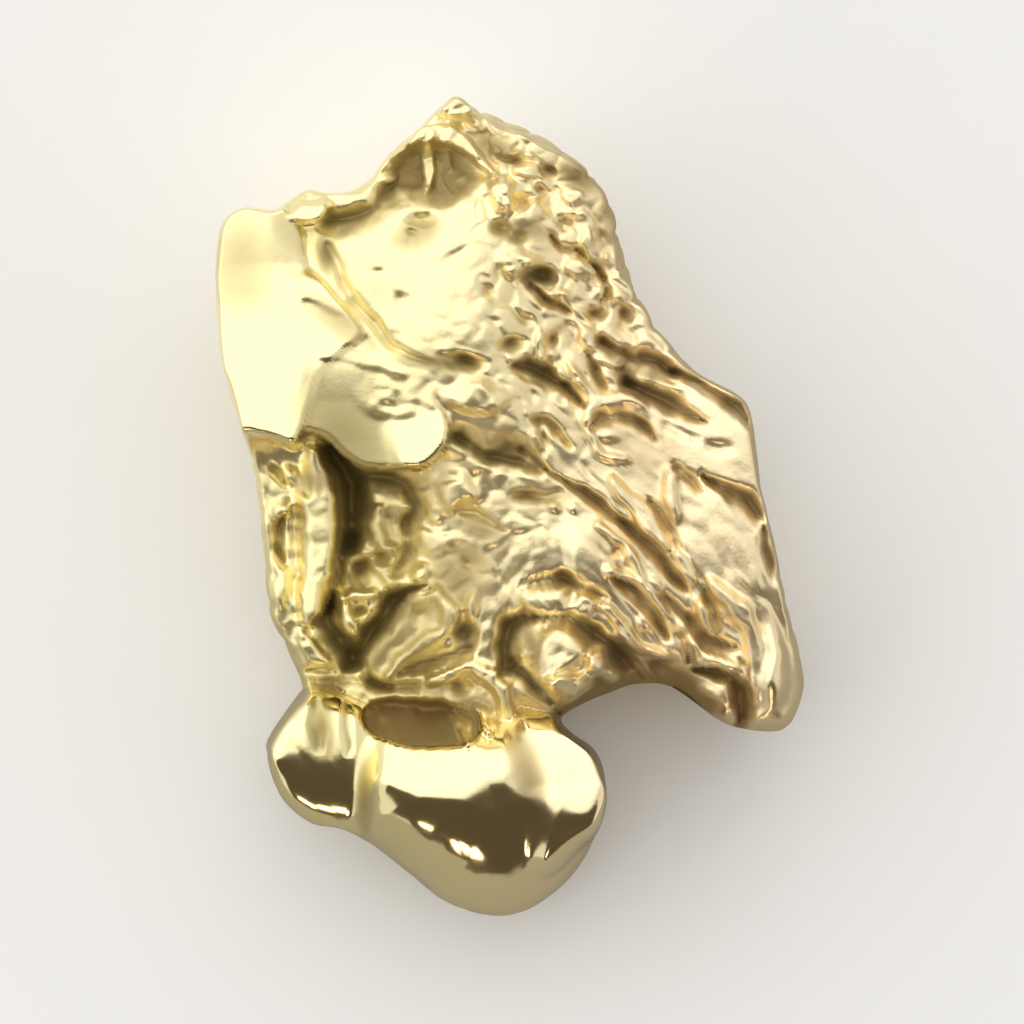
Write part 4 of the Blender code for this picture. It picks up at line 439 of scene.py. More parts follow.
# The rough skin, the back and the sides.
PIT_START = (0.12, 0.50)  # the pits start and are full where their swells add up to these
PIT_DEPTH = 0.13
FLOW_TURN = -48.0  # degrees: the run of the flow lines on the lower right
FLOW_STRETCH = 0.62
FLOW_LEFT = (0.45, 0.6, 2.2)  # they come in between these last two x, which lean by the first for each y
FLOW_TOP = (2.2, 0.3)  # and between these y
LUMP_PLACES = (0.1, 0.9)  # where a small lump may lie in its cell
LUMP_RADIUS = 0.75  # in cells
CREVICE = 0.35  # width of the crevice round a small lump, in cells
LUMP_MIDDLE = 0.5  # height that counts as level
BACK_LEVEL = 0.6  # the same on the back
SIDE_ROUGHNESS = 0.7  # of the sides of the smooth forms, below their rims
SIDE_FADE = (0.2, 2.4)  # it comes in between these depths below the rim
SIDE_REACH = 2.2  # the sides' lumps fade away this far inside the edge

# How the marks are pushed over: share of a height, the most that counts of it, and how much goes to x.
LEAN = (0.2, 0.4, 0.35)
FORM_STRAY = 0.2  # how much of the marks' stray the smooth forms take
SEEN_FROM = (3.4, 144.0)  # the forms are drawn to scale at the first height, as seen from the second

# How the smooth forms stand out of the skin.
FILLET = 0.08
FORM_ABOVE = (-0.1, 0.15)  # heights above the skin between which the form takes over
FORM_INSIDE = (-0.05, 0.1)  # and the same for the distance inside its outline
BOWL_SKIN = (0.1, 0.6)  # depths of the bowl between which the skin in it turns rough

TABLE = 97  # size of the tables of random numbers
TABLE_START = 40  # cells between a table's corner and the middle of the nugget
FAR = 9.0  # farther than anything that counts, in millimetres, half widths or cells
TINY = 1e-9  # keeps a sum from being 0

# The gold's finish.
COLOUR_SIDES = (-0.003, 0.003)  # metres across: between them the colour turns to the warmer tint that stands in for the different light on the right: painted light
HOLLOW_DULLNESS = 0.38  # how much rougher the metal is where it is dark
GRAIN_SCALE = 2500.0
GRAIN_DETAIL = 4.0
GRAIN_ROUGHNESS = 0.6
GRAIN_ON_POLISH = 0.12  # share of the grain that is left where the metal is polished
GRAIN_STRENGTH = 0.35
GRAIN_HEIGHT = 0.00006

# The stage, in metres. Directions point from the nugget; edges are cosines of the angle to them.
FLOOR_SIZE = 3.0
FLOOR_GAP = 0.00002  # the worn flats clear the floor by this much
FLOOR_ROUGHNESS = 0.9
BRIGHT_FLOOR = (-0.7, 0.7, 0.0)  # towards the part of the floor that the window lights
BRIGHT_FLOOR_EDGES = (0.2, 0.95)
ENVIRONMENT = 0.82  # brightness of the room
KEY_DIRECTION = (-0.45, 0.55, 0.70)
KEY_EDGES = (0.40, 0.80)
KEY_STRENGTH = 1.55
DARK_DIRECTION = (0.06, -0.85, 0.53)
DARK_EDGES = (0.70, 0.74)
DARK_STRENGTH = 0.09
LAMPS = ((-0.26, -0.935, 0.22), (-0.08, -0.95, 0.29))  # two small lamps in the dark stretch
LAMP_EDGES = (0.9955, 0.9985)
LAMP_STRENGTH = 8.0
ROOM_TINT = (1.0, 0.99, 0.96)
DARK_TINT = (1.0, 0.80, 0.58)
CAMERA_PLACE = (0.0, -0.00005)
CAMERA_LENS = 200.0  # millimetres
CAMERA_SENSOR = 36.0  # millimetres
CAMERA_CLIP = (0.001, 10.0)


def closed_curve(points, per_side):
    """A closed Catmull-Rom curve: each stretch is a cubic between two points, and at a point it runs the way
    from the point before to the point after."""
    p = np.asarray(points, float)
    u = (np.arange(per_side) / per_side)[:, None]
    pieces = []
    for a, b, c, d in zip(np.roll(p, 1, 0), p, np.roll(p, -1, 0), np.roll(p, -2, 0)):
        pieces.append(b + 0.5 * u * (c - a + u * (2 * a - 5 * b + 4 * c - d + u * (3 * (b - c) + d - a))))
    return np.concatenate(pieces)


def path_distance(x, y, path, closed=False):
    """Distance from each place to a path of straight pieces, each measured to its own nearest point."""
    p = np.asarray(path, float)
    ends = np.roll(p, -1, 0) if closed else p[1:]
    best = np.full(x.shape, FAR * FAR)
    for (ax, ay), (bx, by) in zip(p, ends):
        dx = bx - ax
        dy = by - ay
        t = np.clip(((x - ax) * dx + (y - ay) * dy) / (dx * dx + dy * dy), 0, 1)
        best = np.minimum(best, (x - ax - t * dx) ** 2 + (y - ay - t * dy) ** 2)
    return np.sqrt(best)


def path_share(x, y, path):
    """Distance from each place to a path, as a share of the path's half width where it is nearest."""
    best = np.full(x.shape, FAR)
    for (ax, ay, aw), (bx, by, bw) in zip(path, path[1:]):
        dx = bx - ax
        dy = by - ay
        t = np.clip(((x - ax) * dx + (y - ay) * dy) / (dx * dx + dy * dy), 0, 1)
        best = np.minimum(best, np.hypot(x - ax - t * dx, y - ay - t * dy) / (aw + t * (bw - aw)))
    return best


def depth_inside(x, y, points):
    """Distance from each place to a closed outline, negative outside. A place is inside where a line from it
    towards +x crosses the outline an odd number of times."""
    p = closed_curve(points, FORM_STEPS)
    inside = np.zeros(x.shape, bool)
    for (ax, ay), (bx, by) in zip(p, np.roll(p, -1, 0)):
        if ay != by:
            inside ^= ((ay > y) != (by > y)) & (x < (bx - ax) * (y - ay) / (by - ay) + ax)
    near = path_distance(x, y, p, True)
    return np.where(inside, near, -near)


def smooth_step(value, low, high):
    """0 up to low and 1 from high on, with a cubic between that is level at both ends."""
    t = np.clip((value - low) / (high - low), 0, 1)
    return t * t * (3 - 2 * t)


def quarter_round(u, squareness=2.0):
    """0 at 0, rising steeply and level at 1, like the edge of a round thing; squarer above 2."""
    return (1 - (1 - np.clip(u, 0, 1)) ** squareness) ** (1 / squareness)


def higher(a, b, blend=FILLET):
    """The higher of two heights, with a fillet where they meet: the logarithm of summed exponentials."""
    return blend * np.logaddexp(a / blend, b / blend)


def ramp(value, soft):
    """0 below 0 and rising evenly above it, with a soft bend between."""
    return soft * np.logaddexp(0, value / soft)


def spot(x, y, centre_x, centre_y, half_length, half_width, turn):
    """0 at the middle of a turned oval, 1 on its edge, and even between."""
    c = np.cos(np.radians(turn))
    s = np.sin(np.radians(turn))
    u = (x - centre_x) * c + (y - centre_y) * s
    v = (y - centre_y) * c - (x - centre_x) * s
    return np.hypot(u / half_length, v / half_width)


def bump(q, power=1.0):
    """1 where q is 0, falling with its square to 0 where it is 1, to a power."""
    return np.clip(1 - q * q, 0, 1) ** power


def spread(x, y, rows, reach):
    """Values given at a few places, spread over all the others: their means, weighted by a bell curve."""
    total = np.zeros(x.shape)
    sums = np.zeros((len(rows[0]) - 2,) + x.shape)
    for row_x, row_y, *values in rows:
        weight = np.exp(-((x - row_x) ** 2 + (y - row_y) ** 2) / (2 * reach**2)) + TINY
        total += weight
        for k, value in enumerate(values):
            sums[k] += weight * value
    return sums / total


def swell(x, y, cell, seed):
    """Smooth random heights between -1 and 1: one for each corner of the cells, and cubics between them."""
    table = np.random.default_rng(seed).uniform(-1, 1, (TABLE, TABLE))
    u = x / cell + TABLE_START
    v = y / cell + TABLE_START
    i = np.floor(u).astype(int)
    j = np.floor(v).astype(int)
    fu = (u - i) ** 2 * (3 - 2 * (u - i))
    fv = (v - j) ** 2 * (3 - 2 * (v - j))
    low = table[i % TABLE, j % TABLE] * (1 - fu) + table[(i + 1) % TABLE, j % TABLE] * fu
    high = table[i % TABLE, (j + 1) % TABLE] * (1 - fu) + table[(i + 1) % TABLE, (j + 1) % TABLE] * fu
    return low * (1 - fv) + high * fv


def swells(x, y, rows):
    """The swells of several rows of cell size, height and seed, added up."""
    return sum(height * swell(x, y, cell, seed) for cell, height, seed in rows)


def small_lumps(x, y, cell, seed):
    """Rounded lumps packed together, one in each cell: a lump falls with the square of the distance from its
    middle, and to 0 in the crevice where the next lump is as near."""
    shift = np.random.default_rng(seed).uniform(*LUMP_PLACES, (TABLE, TABLE, 2))
    u = x / cell + TABLE_START
    v = y / cell + TABLE_START
    i = np.floor(u).astype(int)
    j = np.floor(v).astype(int)
    first = np.full(x.shape, FAR)
    second = first.copy()
    for a in (-1, 0, 1):
        for b in (-1, 0, 1):
            s = shift[(i + a) % TABLE, (j + b) % TABLE]
            d = np.hypot(i + a + s[..., 0] - u, j + b + s[..., 1] - v)
            second = np.minimum(second, np.maximum(first, d))
            first = np.minimum(first, d)
    return (1 - (first / LUMP_RADIUS) ** 2) * smooth_step(second - first, 0, CREVICE)


def sheet(face, x, y, form):
    """A face cut to its outline, with its rim rounded down in steps of a quarter round each. Also how far
    inside the outline each place is, and how far its rim has fallen there."""
    outline, *steps = form
    deep = depth_inside(x, y, outline)
    fallen = sum(drop * (1 - quarter_round(deep / width)) for width, drop in steps)
    return np.where(deep > 0, face - fallen, -FAR), deep, fallen


def slab(x, y):
    """The slab is level, rises towards its lower end and falls away to the left at its upper end."""
    bend, rise, soft = SLAB_BEND
    lean, level_x = SLAB_LEAN
    fallen = sum(fall * ramp(x - corner, FILLET) for corner, fall in SLAB_CORNER)
    fallen = fallen * smooth_step(y, *SLAB_UPPER_END)
    face = SLAB_HEIGHT + lean * (x - level_x) + rise * ramp(bend - y, soft) - fallen
    height, deep, _ = sheet(face, x, y, SLAB)
    return height, deep, np.zeros(x.shape)


def knuckle(x, y):
    """Two facets that rise evenly to each side of a crease, and fall away at the top."""
    crease = np.asarray(KNUCKLE_CREASE)
    left_lean, right_lean, turn_y = KNUCKLE_LEAN
    top, fall, soft = KNUCKLE_TOP
    side = x - np.interp(-y, -crease[:, 1], crease[:, 0])
    right = smooth_step(side, -KNUCKLE_CREASE_WIDTH, KNUCKLE_CREASE_WIDTH)
    face = KNUCKLE_HEIGHT + KNUCKLE_SIDES[0] * ramp(-side, FILLET) + KNUCKLE_SIDES[1] * ramp(side, FILLET)
    face += (left_lean * (1 - right) + right_lean * right) * (y - turn_y)
    face -= fall * ramp(y - top, soft)
    return sheet(face, x, y, KNUCKLE)


def lobe(x, y, form):
    """Height of a round lobe: a quarter round from its outline, at 0, to its crown line, at 1."""
    outline, crown, low, high, squareness = form
    deep = depth_inside(x, y, outline)
    share = deep / (np.abs(deep) + path_distance(x, y, crown) + TINY)
    middle = crown[len(crown) // 2]
    top = high - LOBE_FALL * ((x - middle[0]) ** 2 + (y - middle[1]) ** 2)
    height = low + (top - low) * quarter_round(share, squareness)
    return np.where(deep > 0, height, -FAR), deep, np.zeros(x.shape)


def strayed(x, y):
    """The places moved by coarse and fine swells, so that no mark has a drawn edge."""
    moved_x = x
    moved_y = y
    for cell, far, seed in STRAY:
        moved_x = moved_x + far * swell(x, y, cell, seed)
        moved_y = moved_y + far * swell(x, y, cell, seed + 1)
    return moved_x, moved_y


def drawn(x, y, row):
    """Of one mark, an oval or a path: its height, and how far out each place is, 1 on the mark's edge."""
    if len(row) == 2:
        height, path = row
        return height, path_share(x, y, path)
    *place, height = row
    return height, spot(x, y, *place)


def marks(x, y):
    """Heights that the lumps, ridges, pits, grooves and hollow add or take away: each mark's height times a
    smooth step from its middle to its ragged edge."""
    z = np.zeros(x.shape)
    ragged = swells(x, y, RAGGED)
    for table, counts, full, gone in MARKS:
        for row in table:
            height, away = drawn(x, y, row)
            z += counts * height * (1 - smooth_step(away + ragged, full, gone))
    right, left = TOP_HOLLOW_DEPTH
    start, deep, unevenness = TOP_HOLLOW_RIM
    hollow = right + (left - right) * smooth_step(x, *TOP_HOLLOW_CHANGE)
    return z - hollow * smooth_step(depth_inside(x, y, TOP_HOLLOW) - unevenness * ragged, start, deep)


def leaning_marks(x, y):
    """The marks read from places moved by their own height, so that their lower sides are steep and their
    upper sides gentle."""
    share, most, across = LEAN
    push = share * np.clip(marks(x, y), -most, most)
    return marks(x - across * push, y + push)


def folds(x, y):
    """Heights that the folds on the finished forms add or take away, each with a bump across its path."""
    reach, power = FOLD_PROFILE
    return sum(height * bump(path_share(x, y, path) / reach, power) for height, path in FOLDS)


def rough_skin(x, y, share):
    """Swells, small lumps and pits added up, drawn out along the flow lines on the lower right."""
    lean, *left = FLOW_LEFT
    flow = smooth_step(x + lean * y, *left) * smooth_step(y, *FLOW_TOP)
    c = np.cos(np.radians(FLOW_TURN))
    s = np.sin(np.radians(FLOW_TURN))
    stray_cell, far, seed = FLOW_STRAY
    u = (x * c + y * s) * (1 - FLOW_STRETCH * flow) + far * swell(x, y, stray_cell, seed)
    v = y * c - x * s + far * swell(x, y, stray_cell, seed + 1)
    z = swells(x, y, [ROUGH_SWELL])
    for cell, height, seed in ROUGH_CELLS:
        z += height * (small_lumps(u, v, cell, seed) - LUMP_MIDDLE)
    z -= PIT_DEPTH * smooth_step(swells(u, v, PIT_SWELLS), *PIT_START)
    return share * z


def smooth_forms(x, y):
    """Of each smooth form: its height, how far inside it a place is and how far down its wall."""
    lower = [lobe(x, y, form) for form in (BEAN, KNOB, BALL)]
    top = lower[0][0]
    for height, *_ in lower[1:]:
        top = higher(top, height, LOBE_BLEND)
    inside = np.max([deep for _, deep, _ in lower], 0)
    return slab(x, y), knuckle(x, y), lobe(x, y, TOE), (top, inside, np.zeros(x.shape))


def rough_share(x, y, added):
    """How rough the skin is: as its table says, and more in the hollows."""
    more, *depths = ROUGH_HOLLOWS
    share = spread(x, y, ROUGHNESS, ROUGH_REACH)[0] + more * smooth_step(-added, *depths)
    return np.minimum(share, 1)


def side_pattern(along, z):
    """Lumps and swells of a side, by the place along it and the height."""
    cell, height, seed = SIDE_LUMPS
    return swells(along, z, SIDE_SWELLS) + height * (small_lumps(along, z, cell, seed) - LUMP_MIDDLE)


def side_stray(x, y, z, near, out):
    """How far the sides stray outwards: the pattern on y and the one on x, mixed by the way that a side
    faces. It is least below the smooth forms' rims and fades away inside the edge."""
    facing_x = out[:, 0] ** 2
    far = facing_x * side_pattern(y, z) + (1 - facing_x) * side_pattern(x + FAR, z)
    edge = spread(x, y, BODY, BODY_REACH)[1]
    below = SIDE_ROUGHNESS * smooth_step(edge - z, *SIDE_FADE)
    share = np.maximum(spread(x, y, ROUGHNESS, ROUGH_REACH)[0], below)
    return far * share * (1 - smooth_step(near, 0, SIDE_REACH))


def upper_side(x, y):
    """Height of the upper side before its edge is rounded off, how smooth it is, and how deep its marks are
    or how far down a form's wall a place is, which sets the painted shade.
    The smooth forms stand on the body and its marks, and the bowl is sunk and the fine skin laid last."""
    body = spread(x, y, BODY, BODY_REACH)[0]
    nearer = 1 + (body - SEEN_FROM[0]) / SEEN_FROM[1]
    moved_x, moved_y = strayed(nearer * x, nearer * y)
    added = leaning_marks(moved_x, moved_y)
    z = body + added
    smooth = np.zeros(x.shape)
    wall = np.zeros(x.shape)
    form_x = FORM_STRAY * moved_x + (1 - FORM_STRAY) * nearer * x
    form_y = FORM_STRAY * moved_y + (1 - FORM_STRAY) * nearer * y
    for height, deep, fallen in smooth_forms(form_x, form_y):
        above = smooth_step(height - z, *FORM_ABOVE)
        smooth = np.maximum(smooth, above * smooth_step(deep, *FORM_INSIDE))
        # How far down each form's wall a place is, for the painted shade under its rim.
        wall = np.maximum(wall * (1 - above), above * smooth_step(fallen, *WALL_SHADE_EDGES))
        z = higher(z, height)
    bowl = BOWL_DEPTH * bump(spot(moved_x, moved_y, *BOWL), BOWL_POWER)
    folded = folds(moved_x, moved_y)
    smooth *= 1 - smooth_step(bowl, *BOWL_SKIN)
    fine = rough_skin(x, y, rough_share(x, y, added - bowl) * (1 - smooth))
    # Depth that sets the painted shade: the bowl, the folds and the marks on the rough skin.
    depth = bowl - FOLD_SHADE * folded - (added + fine) * (1 - smooth)
    return z - bowl + folded + fine, smooth, np.maximum(depth, wall)


def back_side(x, y):
    """Height of the back: its table, less small lumps. Below 0 the floor wears it flat."""
    z = spread(x, y, BACK, BACK_REACH)[0]
    stray_cell, far, stray_seed = BACK_STRAY
    for cell, height, seed in BACK_CELLS:
        moved_x = x + far * swell(x, y, stray_cell, stray_seed)
        z += height * (BACK_LEVEL - small_lumps(moved_x, y, cell, seed))
    return z


def nearest(curve, place):
    """Which point of the curve is nearest to the place."""
    return int(np.argmin(np.hypot(curve[:, 0] - place[0], curve[:, 1] - place[1])))


def evenly(curve, first, last, count):
    """Points at even steps along a closed curve from one of its points to another, without the last."""
    steps = (last - first) % len(curve) or len(curve)
    part = curve[(first + np.arange(steps + 1)) % len(curve)]
    run = np.concatenate([[0], np.cumsum(np.hypot(*np.diff(part, axis=0).T))])
    at = np.arange(count) / count * run[-1]
    return np.stack([np.interp(at, run, part[:, 0]), np.interp(at, run, part[:, 1])], 1)


def spokes(columns_round):
    """Outer and inner ends of the spokes: up the right edge, then down the left one. Between two stations
    they stand at even steps on both edges and on the spine."""
    curve = closed_curve(OUTLINE, SPOKE_STEPS)
    rows = [(nearest(curve, right), nearest(curve, left), spine) for right, left, spine in STATIONS]
    gaps = [max(b[0] - a[0], (a[1] - b[1]) % len(curve)) for a, b in zip(rows, rows[1:])]
    counts = [max(2, round(columns_round / 2 * gap / sum(gaps))) for gap in gaps]
    right = []
    left = []
    spine = []
    for a, b, count in zip(rows, rows[1:], counts):
        right.append(evenly(curve, a[0], b[0], count))
        left.append(evenly(curve, b[1], a[1], count)[::-1])
        t = (np.arange(count) / count)[:, None]
        spine.append(np.asarray(a[2]) * (1 - t) + np.asarray(b[2]) * t)
    # Down the left edge each spoke pairs with the one that shares its spine point.
    left = np.concatenate(left)[::-1]
    right = np.concatenate(right)
    spine = np.concatenate(spine + [[rows[-1][2]]])
    outer = np.concatenate([right, left])
    half = len(right)
    inner = spine[np.concatenate([np.arange(half), np.arange(half, 0, -1)])]
    return outer, inner


def ring_shares(count, edge_share):
    """Where the rings cross a spoke, 0 at the edge and 1 on the spine: by a cosine round the edge, so that
    they lie close together there, and then evenly."""
    edge = max(2, round(count * edge_share))
    around = np.arange(edge) / edge * np.pi / 2
    inward = np.linspace(EDGE_SPAN, 1, count - edge + 1)
    return np.concatenate([EDGE_SPAN * (1 - np.cos(around)), inward])


def side_points(outer, inner, shares, upper):
    """Points of one side, ring by ring from the edge to the spine, each with its polish, its hollow value,
    which is painted shade, and its red-brown painted shade and reflection.
    The height leaves the edge by a quarter round, and the sides' pattern moves each point along its spoke."""
    grid = outer[None] * (1 - shares[:, None, None]) + inner[None] * shares[:, None, None]
    x = grid[..., 0]
    y = grid[..., 1]
    _, edge, rounding = spread(x, y, BODY, BODY_REACH)
    near = path_distance(x, y, closed_curve(OUTLINE, EDGE_STEPS), True)
    near[0] = 0
    polish = 1 - spread(x, y, ROUGHNESS, ROUGH_REACH)[0]
    sunk = np.zeros(x.shape)
    if upper:
        height, smooth, depth = upper_side(x, y)
        gloss = spread(x, y, FORM_GLOSS, ROUGH_REACH)[0]
        polish = np.maximum(gloss * smooth, SKIN_GLOSS * polish)
        # The hollow value is painted shade: the colour darkens with the depth of the marks, folds and bowl,
        # down the forms' walls and in the listed patches.
        sunk = smooth_step(depth, *SHADE_DEPTHS)
        for table, share in ((SKIN_SHADE_PATCHES, 1 - smooth), (FORM_SHADE_PATCHES, smooth)):
            for *place, strength in table:
                sunk = np.maximum(sunk, strength * share * bump(spot(x, y, *place)))
        rounding = rounding * (1 + swells(x, y, [ROUNDING_SWELL]))
        z = edge + (height - edge) * quarter_round(near / rounding)
    else:
        z = edge - (edge - np.maximum(back_side(x, y), 0)) * quarter_round(near / BACK_ROUNDING)
    out = (outer - inner) / np.linalg.norm(outer - inner, axis=1)[:, None]
    far = side_stray(x, y, z, near, out)
    # Red-brown painted shade and reflection, on the upper side only.
    painted_red_shade = sum(strength * bump(spot(x, y, *place)) for *place, strength in RED_SHADE_PATCHES) * upper
    return np.stack([x + far * out[:, 0], y + far * out[:, 1], z, polish, sunk, painted_red_shade], -1)


def strip(outer_ring, inner_ring):
    """Four-cornered faces between two rings."""
    return np.stack([outer_ring, np.roll(outer_ring, -1), np.roll(inner_ring, -1), inner_ring], 1)


def centred(points):
    """The points moved so that the origin is under the middle of their box, on the floor."""
    middle = (points.min(0) + points.max(0)) / 2
    return points - [middle[0], middle[1], 0]


def skin(columns_round):
    """Points, faces and finish of the closed skin: its sides share the edge and each folds on the spine."""
    outer, inner = spokes(columns_round)
    columns = np.arange(len(outer))
    fold = np.minimum(columns, len(outer) - columns)
    top = side_points(outer, inner, ring_shares(TOP_RINGS, TOP_EDGE_RINGS), True)
    back = side_points(outer, inner, ring_shares(BACK_RINGS, BACK_EDGE_RINGS), False)
    points = [top[0]]
    faces = []
    count = len(outer)
    for side, order in ((top, 1), (back, -1)):
        ring = columns
        for row in side[1:-1]:
            points.append(row)
            faces.append(strip(ring, count + columns)[:, ::order])
            ring = count + columns
            count += len(row)
        points.append(side[-1][: fold.max() + 1])
        faces.append(strip(ring, count + fold)[:, ::order])
        count += fold.max() + 1
    points = np.concatenate(points)
    finish = dict(zip(("polish", "hollow", "painted_red_shade"), points[:, 3:].T))
    return centred(points[:, :3]), np.concatenate(faces), finish


def skin_mesh(name, columns_round):
    """The closed skin as a mesh, with its polish, its hollow value (painted shade) and its red-brown painted
    shade and reflection as attributes.
    """
    points, faces, finish = skin(columns_round)
    mesh = bpy.data.meshes.new(name)
    mesh.vertices.add(len(points))
    mesh.vertices.foreach_set("co", (points * TO_METRES).astype(np.float32).ravel())
    mesh.loops.add(faces.size)
    mesh.loops.foreach_set("vertex_index", faces.astype(np.int32).ravel())
    mesh.polygons.add(len(faces))
    mesh.polygons.foreach_set("loop_start", np.arange(0, faces.size, 4, dtype=np.int32))
    mesh.update(calc_edges=True)
    mesh.shade_smooth()
    for label, values in finish.items():
        mesh.attributes.new(label, "FLOAT", "POINT").data.foreach_set("value", values.astype(np.float32))
    return mesh


def set_values(node, **values):
    """Sets input sockets by name; an underscore stands for a space."""
    for name, value in values.items():
        node.inputs[name.replace("_", " ")].default_value = value


def map_range(tree, socket, low, high, at_low=0.0, at_high=1.0, smooth=False):
    """A value that runs from one number to another while the socket runs from low to high."""
    node = tree.nodes.new("ShaderNodeMapRange")
    node.interpolation_type = "SMOOTHSTEP" if smooth else "LINEAR"
    set_values(node, From_Min=low, From_Max=high, To_Min=at_low, To_Max=at_high)
    tree.links.new(socket, node.inputs["Value"])
    return node.outputs["Result"]


def blend(tree, kind, factor, low, high):
    """low where the factor is 0 and high where it is 1; each is a socket or a plain value."""
    node = tree.nodes.new("ShaderNodeMix")
    node.data_type = kind
    tree.links.new(factor, node.inputs["Factor"])
    first, second, out = {"FLOAT": (2, 3, 0), "RGBA": (6, 7, 2)}[kind]  # places of this kind's sockets
    for socket, value in ((node.inputs[first], low), (node.inputs[second], high)):
        if isinstance(value, bpy.types.NodeSocket):
            tree.links.new(value, socket)
        else:
            socket.default_value = value
    return node.outputs[out]


def facing(tree, direction_socket, direction, edges):
    """1 where a direction lies close to another and 0 far from it: a smooth step between two cosines."""
    dot = tree.nodes.new("ShaderNodeVectorMath")
    dot.operation = "DOT_PRODUCT"
    dot.inputs[1].default_value = np.asarray(direction) / np.linalg.norm(direction)
    tree.links.new(direction_socket, dot.inputs[0])
    return map_range(tree, dot.outputs["Value"], *edges, smooth=True)


def attribute(tree, name):
    """The value of one of the skin's attributes."""
    node = tree.nodes.new("ShaderNodeAttribute")
    node.attribute_name = name
    return node.outputs["Fac"]


def fine_grain_group():
    """Fine grain: noise on object coordinates, faded where the skin is polished."""
    group = bpy.data.node_groups.new("Fine grain", "ShaderNodeTree")
    for name, way, default in (("Polish", "INPUT", 0.0), ("Grain Scale", "INPUT", GRAIN_SCALE)):
        group.interface.new_socket(name, in_out=way, socket_type="NodeSocketFloat").default_value = default
    group.interface.new_socket("Height", in_out="OUTPUT", socket_type="NodeSocketFloat")
    inside = group.nodes.new("NodeGroupInput")
    outside = group.nodes.new("NodeGroupOutput")
    where = group.nodes.new("ShaderNodeTexCoord")
    noise = group.nodes.new("ShaderNodeTexNoise")
    set_values(noise, Detail=GRAIN_DETAIL, Roughness=GRAIN_ROUGHNESS)
    group.links.new(where.outputs["Object"], noise.inputs["Vector"])
    group.links.new(inside.outputs["Grain Scale"], noise.inputs["Scale"])
    faded = group.nodes.new("ShaderNodeMath")
    faded.operation = "MULTIPLY"
    group.links.new(noise.outputs["Fac"], faded.inputs[0])
    left = map_range(group, inside.outputs["Polish"], 0.0, 1.0, 1.0, GRAIN_ON_POLISH)
    group.links.new(left, faded.inputs[1])
    group.links.new(faded.outputs["Value"], outside.inputs["Height"])
    return group


def new_material(name):
    """A material with its node tree and its shader."""
    material = bpy.data.materials.new(name)
    material.use_nodes = True
    return material, material.node_tree, material.node_tree.nodes["Principled BSDF"]


def gold_material(settings):
    """Native gold: bright on the polished forms; darker in the pits, where shade is painted into its colour,
    and rougher there; its warmer tint on the right is painted light, and the red-brown in the bowl and by the
    notch is painted reflection and shade.
    """
    material, tree, shader = new_material("native gold")
    set_values(shader, Metallic=1.0)
    polish = attribute(tree, "polish")
    hollow = attribute(tree, "hollow")
    where = tree.nodes.new("ShaderNodeTexCoord")
    across = tree.nodes.new("ShaderNodeSeparateXYZ")
    tree.links.new(where.outputs["Object"], across.inputs["Vector"])
    # The warmer tint on the right stands in for the different light there: painted light.
    side = map_range(tree, across.outputs["X"], *COLOUR_SIDES)
    bright = blend(tree, "RGBA", side, (*settings.bright_colour, 1.0), (*settings.right_light_colour, 1.0))
    # The deeper colour that the hollow value blends to is painted shade.
    deep = blend(tree, "RGBA", side, (*settings.shade_colour, 1.0), (*settings.right_shade_colour, 1.0))
    colour = blend(tree, "RGBA", hollow, bright, deep)
    # Red-brown painted reflection and shade in the bowl and by the notch.
    red_shaded = blend(tree, "RGBA", attribute(tree, "painted_red_shade"), colour, (*settings.red_shade_colour, 1.0))
    tree.links.new(red_shaded, shader.inputs["Base Color"])
    duller = tree.nodes.new("ShaderNodeMath")
    duller.operation = "MULTIPLY_ADD"
    duller.inputs[1].default_value = HOLLOW_DULLNESS
    rough = map_range(tree, polish, 0.0, 1.0, settings.rough_roughness, settings.polished_roughness)
    tree.links.new(hollow, duller.inputs[0])
    tree.links.new(rough, duller.inputs[2])
    tree.links.new(duller.outputs["Value"], shader.inputs["Roughness"])
    grain = tree.nodes.new("ShaderNodeGroup")
    grain.node_tree = fine_grain_group()
    raised = tree.nodes.new("ShaderNodeBump")
    set_values(raised, Strength=GRAIN_STRENGTH, Distance=GRAIN_HEIGHT)
    tree.links.new(polish, grain.inputs["Polish"])
    tree.links.new(grain.outputs["Height"], raised.inputs["Height"])
    tree.links.new(raised.outputs["Normal"], shader.inputs["Normal"])
    return material


def floor_material(settings):
    """Plain matt floor. The gold mirrors a duller floor than the camera sees, which is painted shade that
    only the reflections show, except towards the window, where the floor in the gold is painted as lit.
    """
    material, tree, shader = new_material("pale floor")
    set_values(shader, Roughness=FLOOR_ROUGHNESS)
    floor_colour = (*settings.floor_colour, 1.0)
    ray = tree.nodes.new("ShaderNodeLightPath")
    where = tree.nodes.new("ShaderNodeTexCoord")
    outward = tree.nodes.new("ShaderNodeVectorMath")
    outward.operation = "NORMALIZE"
    tree.links.new(where.outputs["Object"], outward.inputs[0])
    lit = facing(tree, outward.outputs["Vector"], BRIGHT_FLOOR, BRIGHT_FLOOR_EDGES)
    mirrored = blend(tree, "RGBA", lit, (*settings.floor_seen_in_gold, 1.0), floor_colour)
    colour = blend(tree, "RGBA", ray.outputs["Is Glossy Ray"], floor_colour, mirrored)
    tree.links.new(colour, shader.inputs["Base Color"])
    return material


def make_floor(settings):
    """A wide plane just below the nugget's worn flats."""
    bpy.ops.mesh.primitive_plane_add(size=FLOOR_SIZE, location=(0, 0, -FLOOR_GAP))
    floor = bpy.context.object
    floor.name = "floor"
    floor.data.materials.append(floor_material(settings))


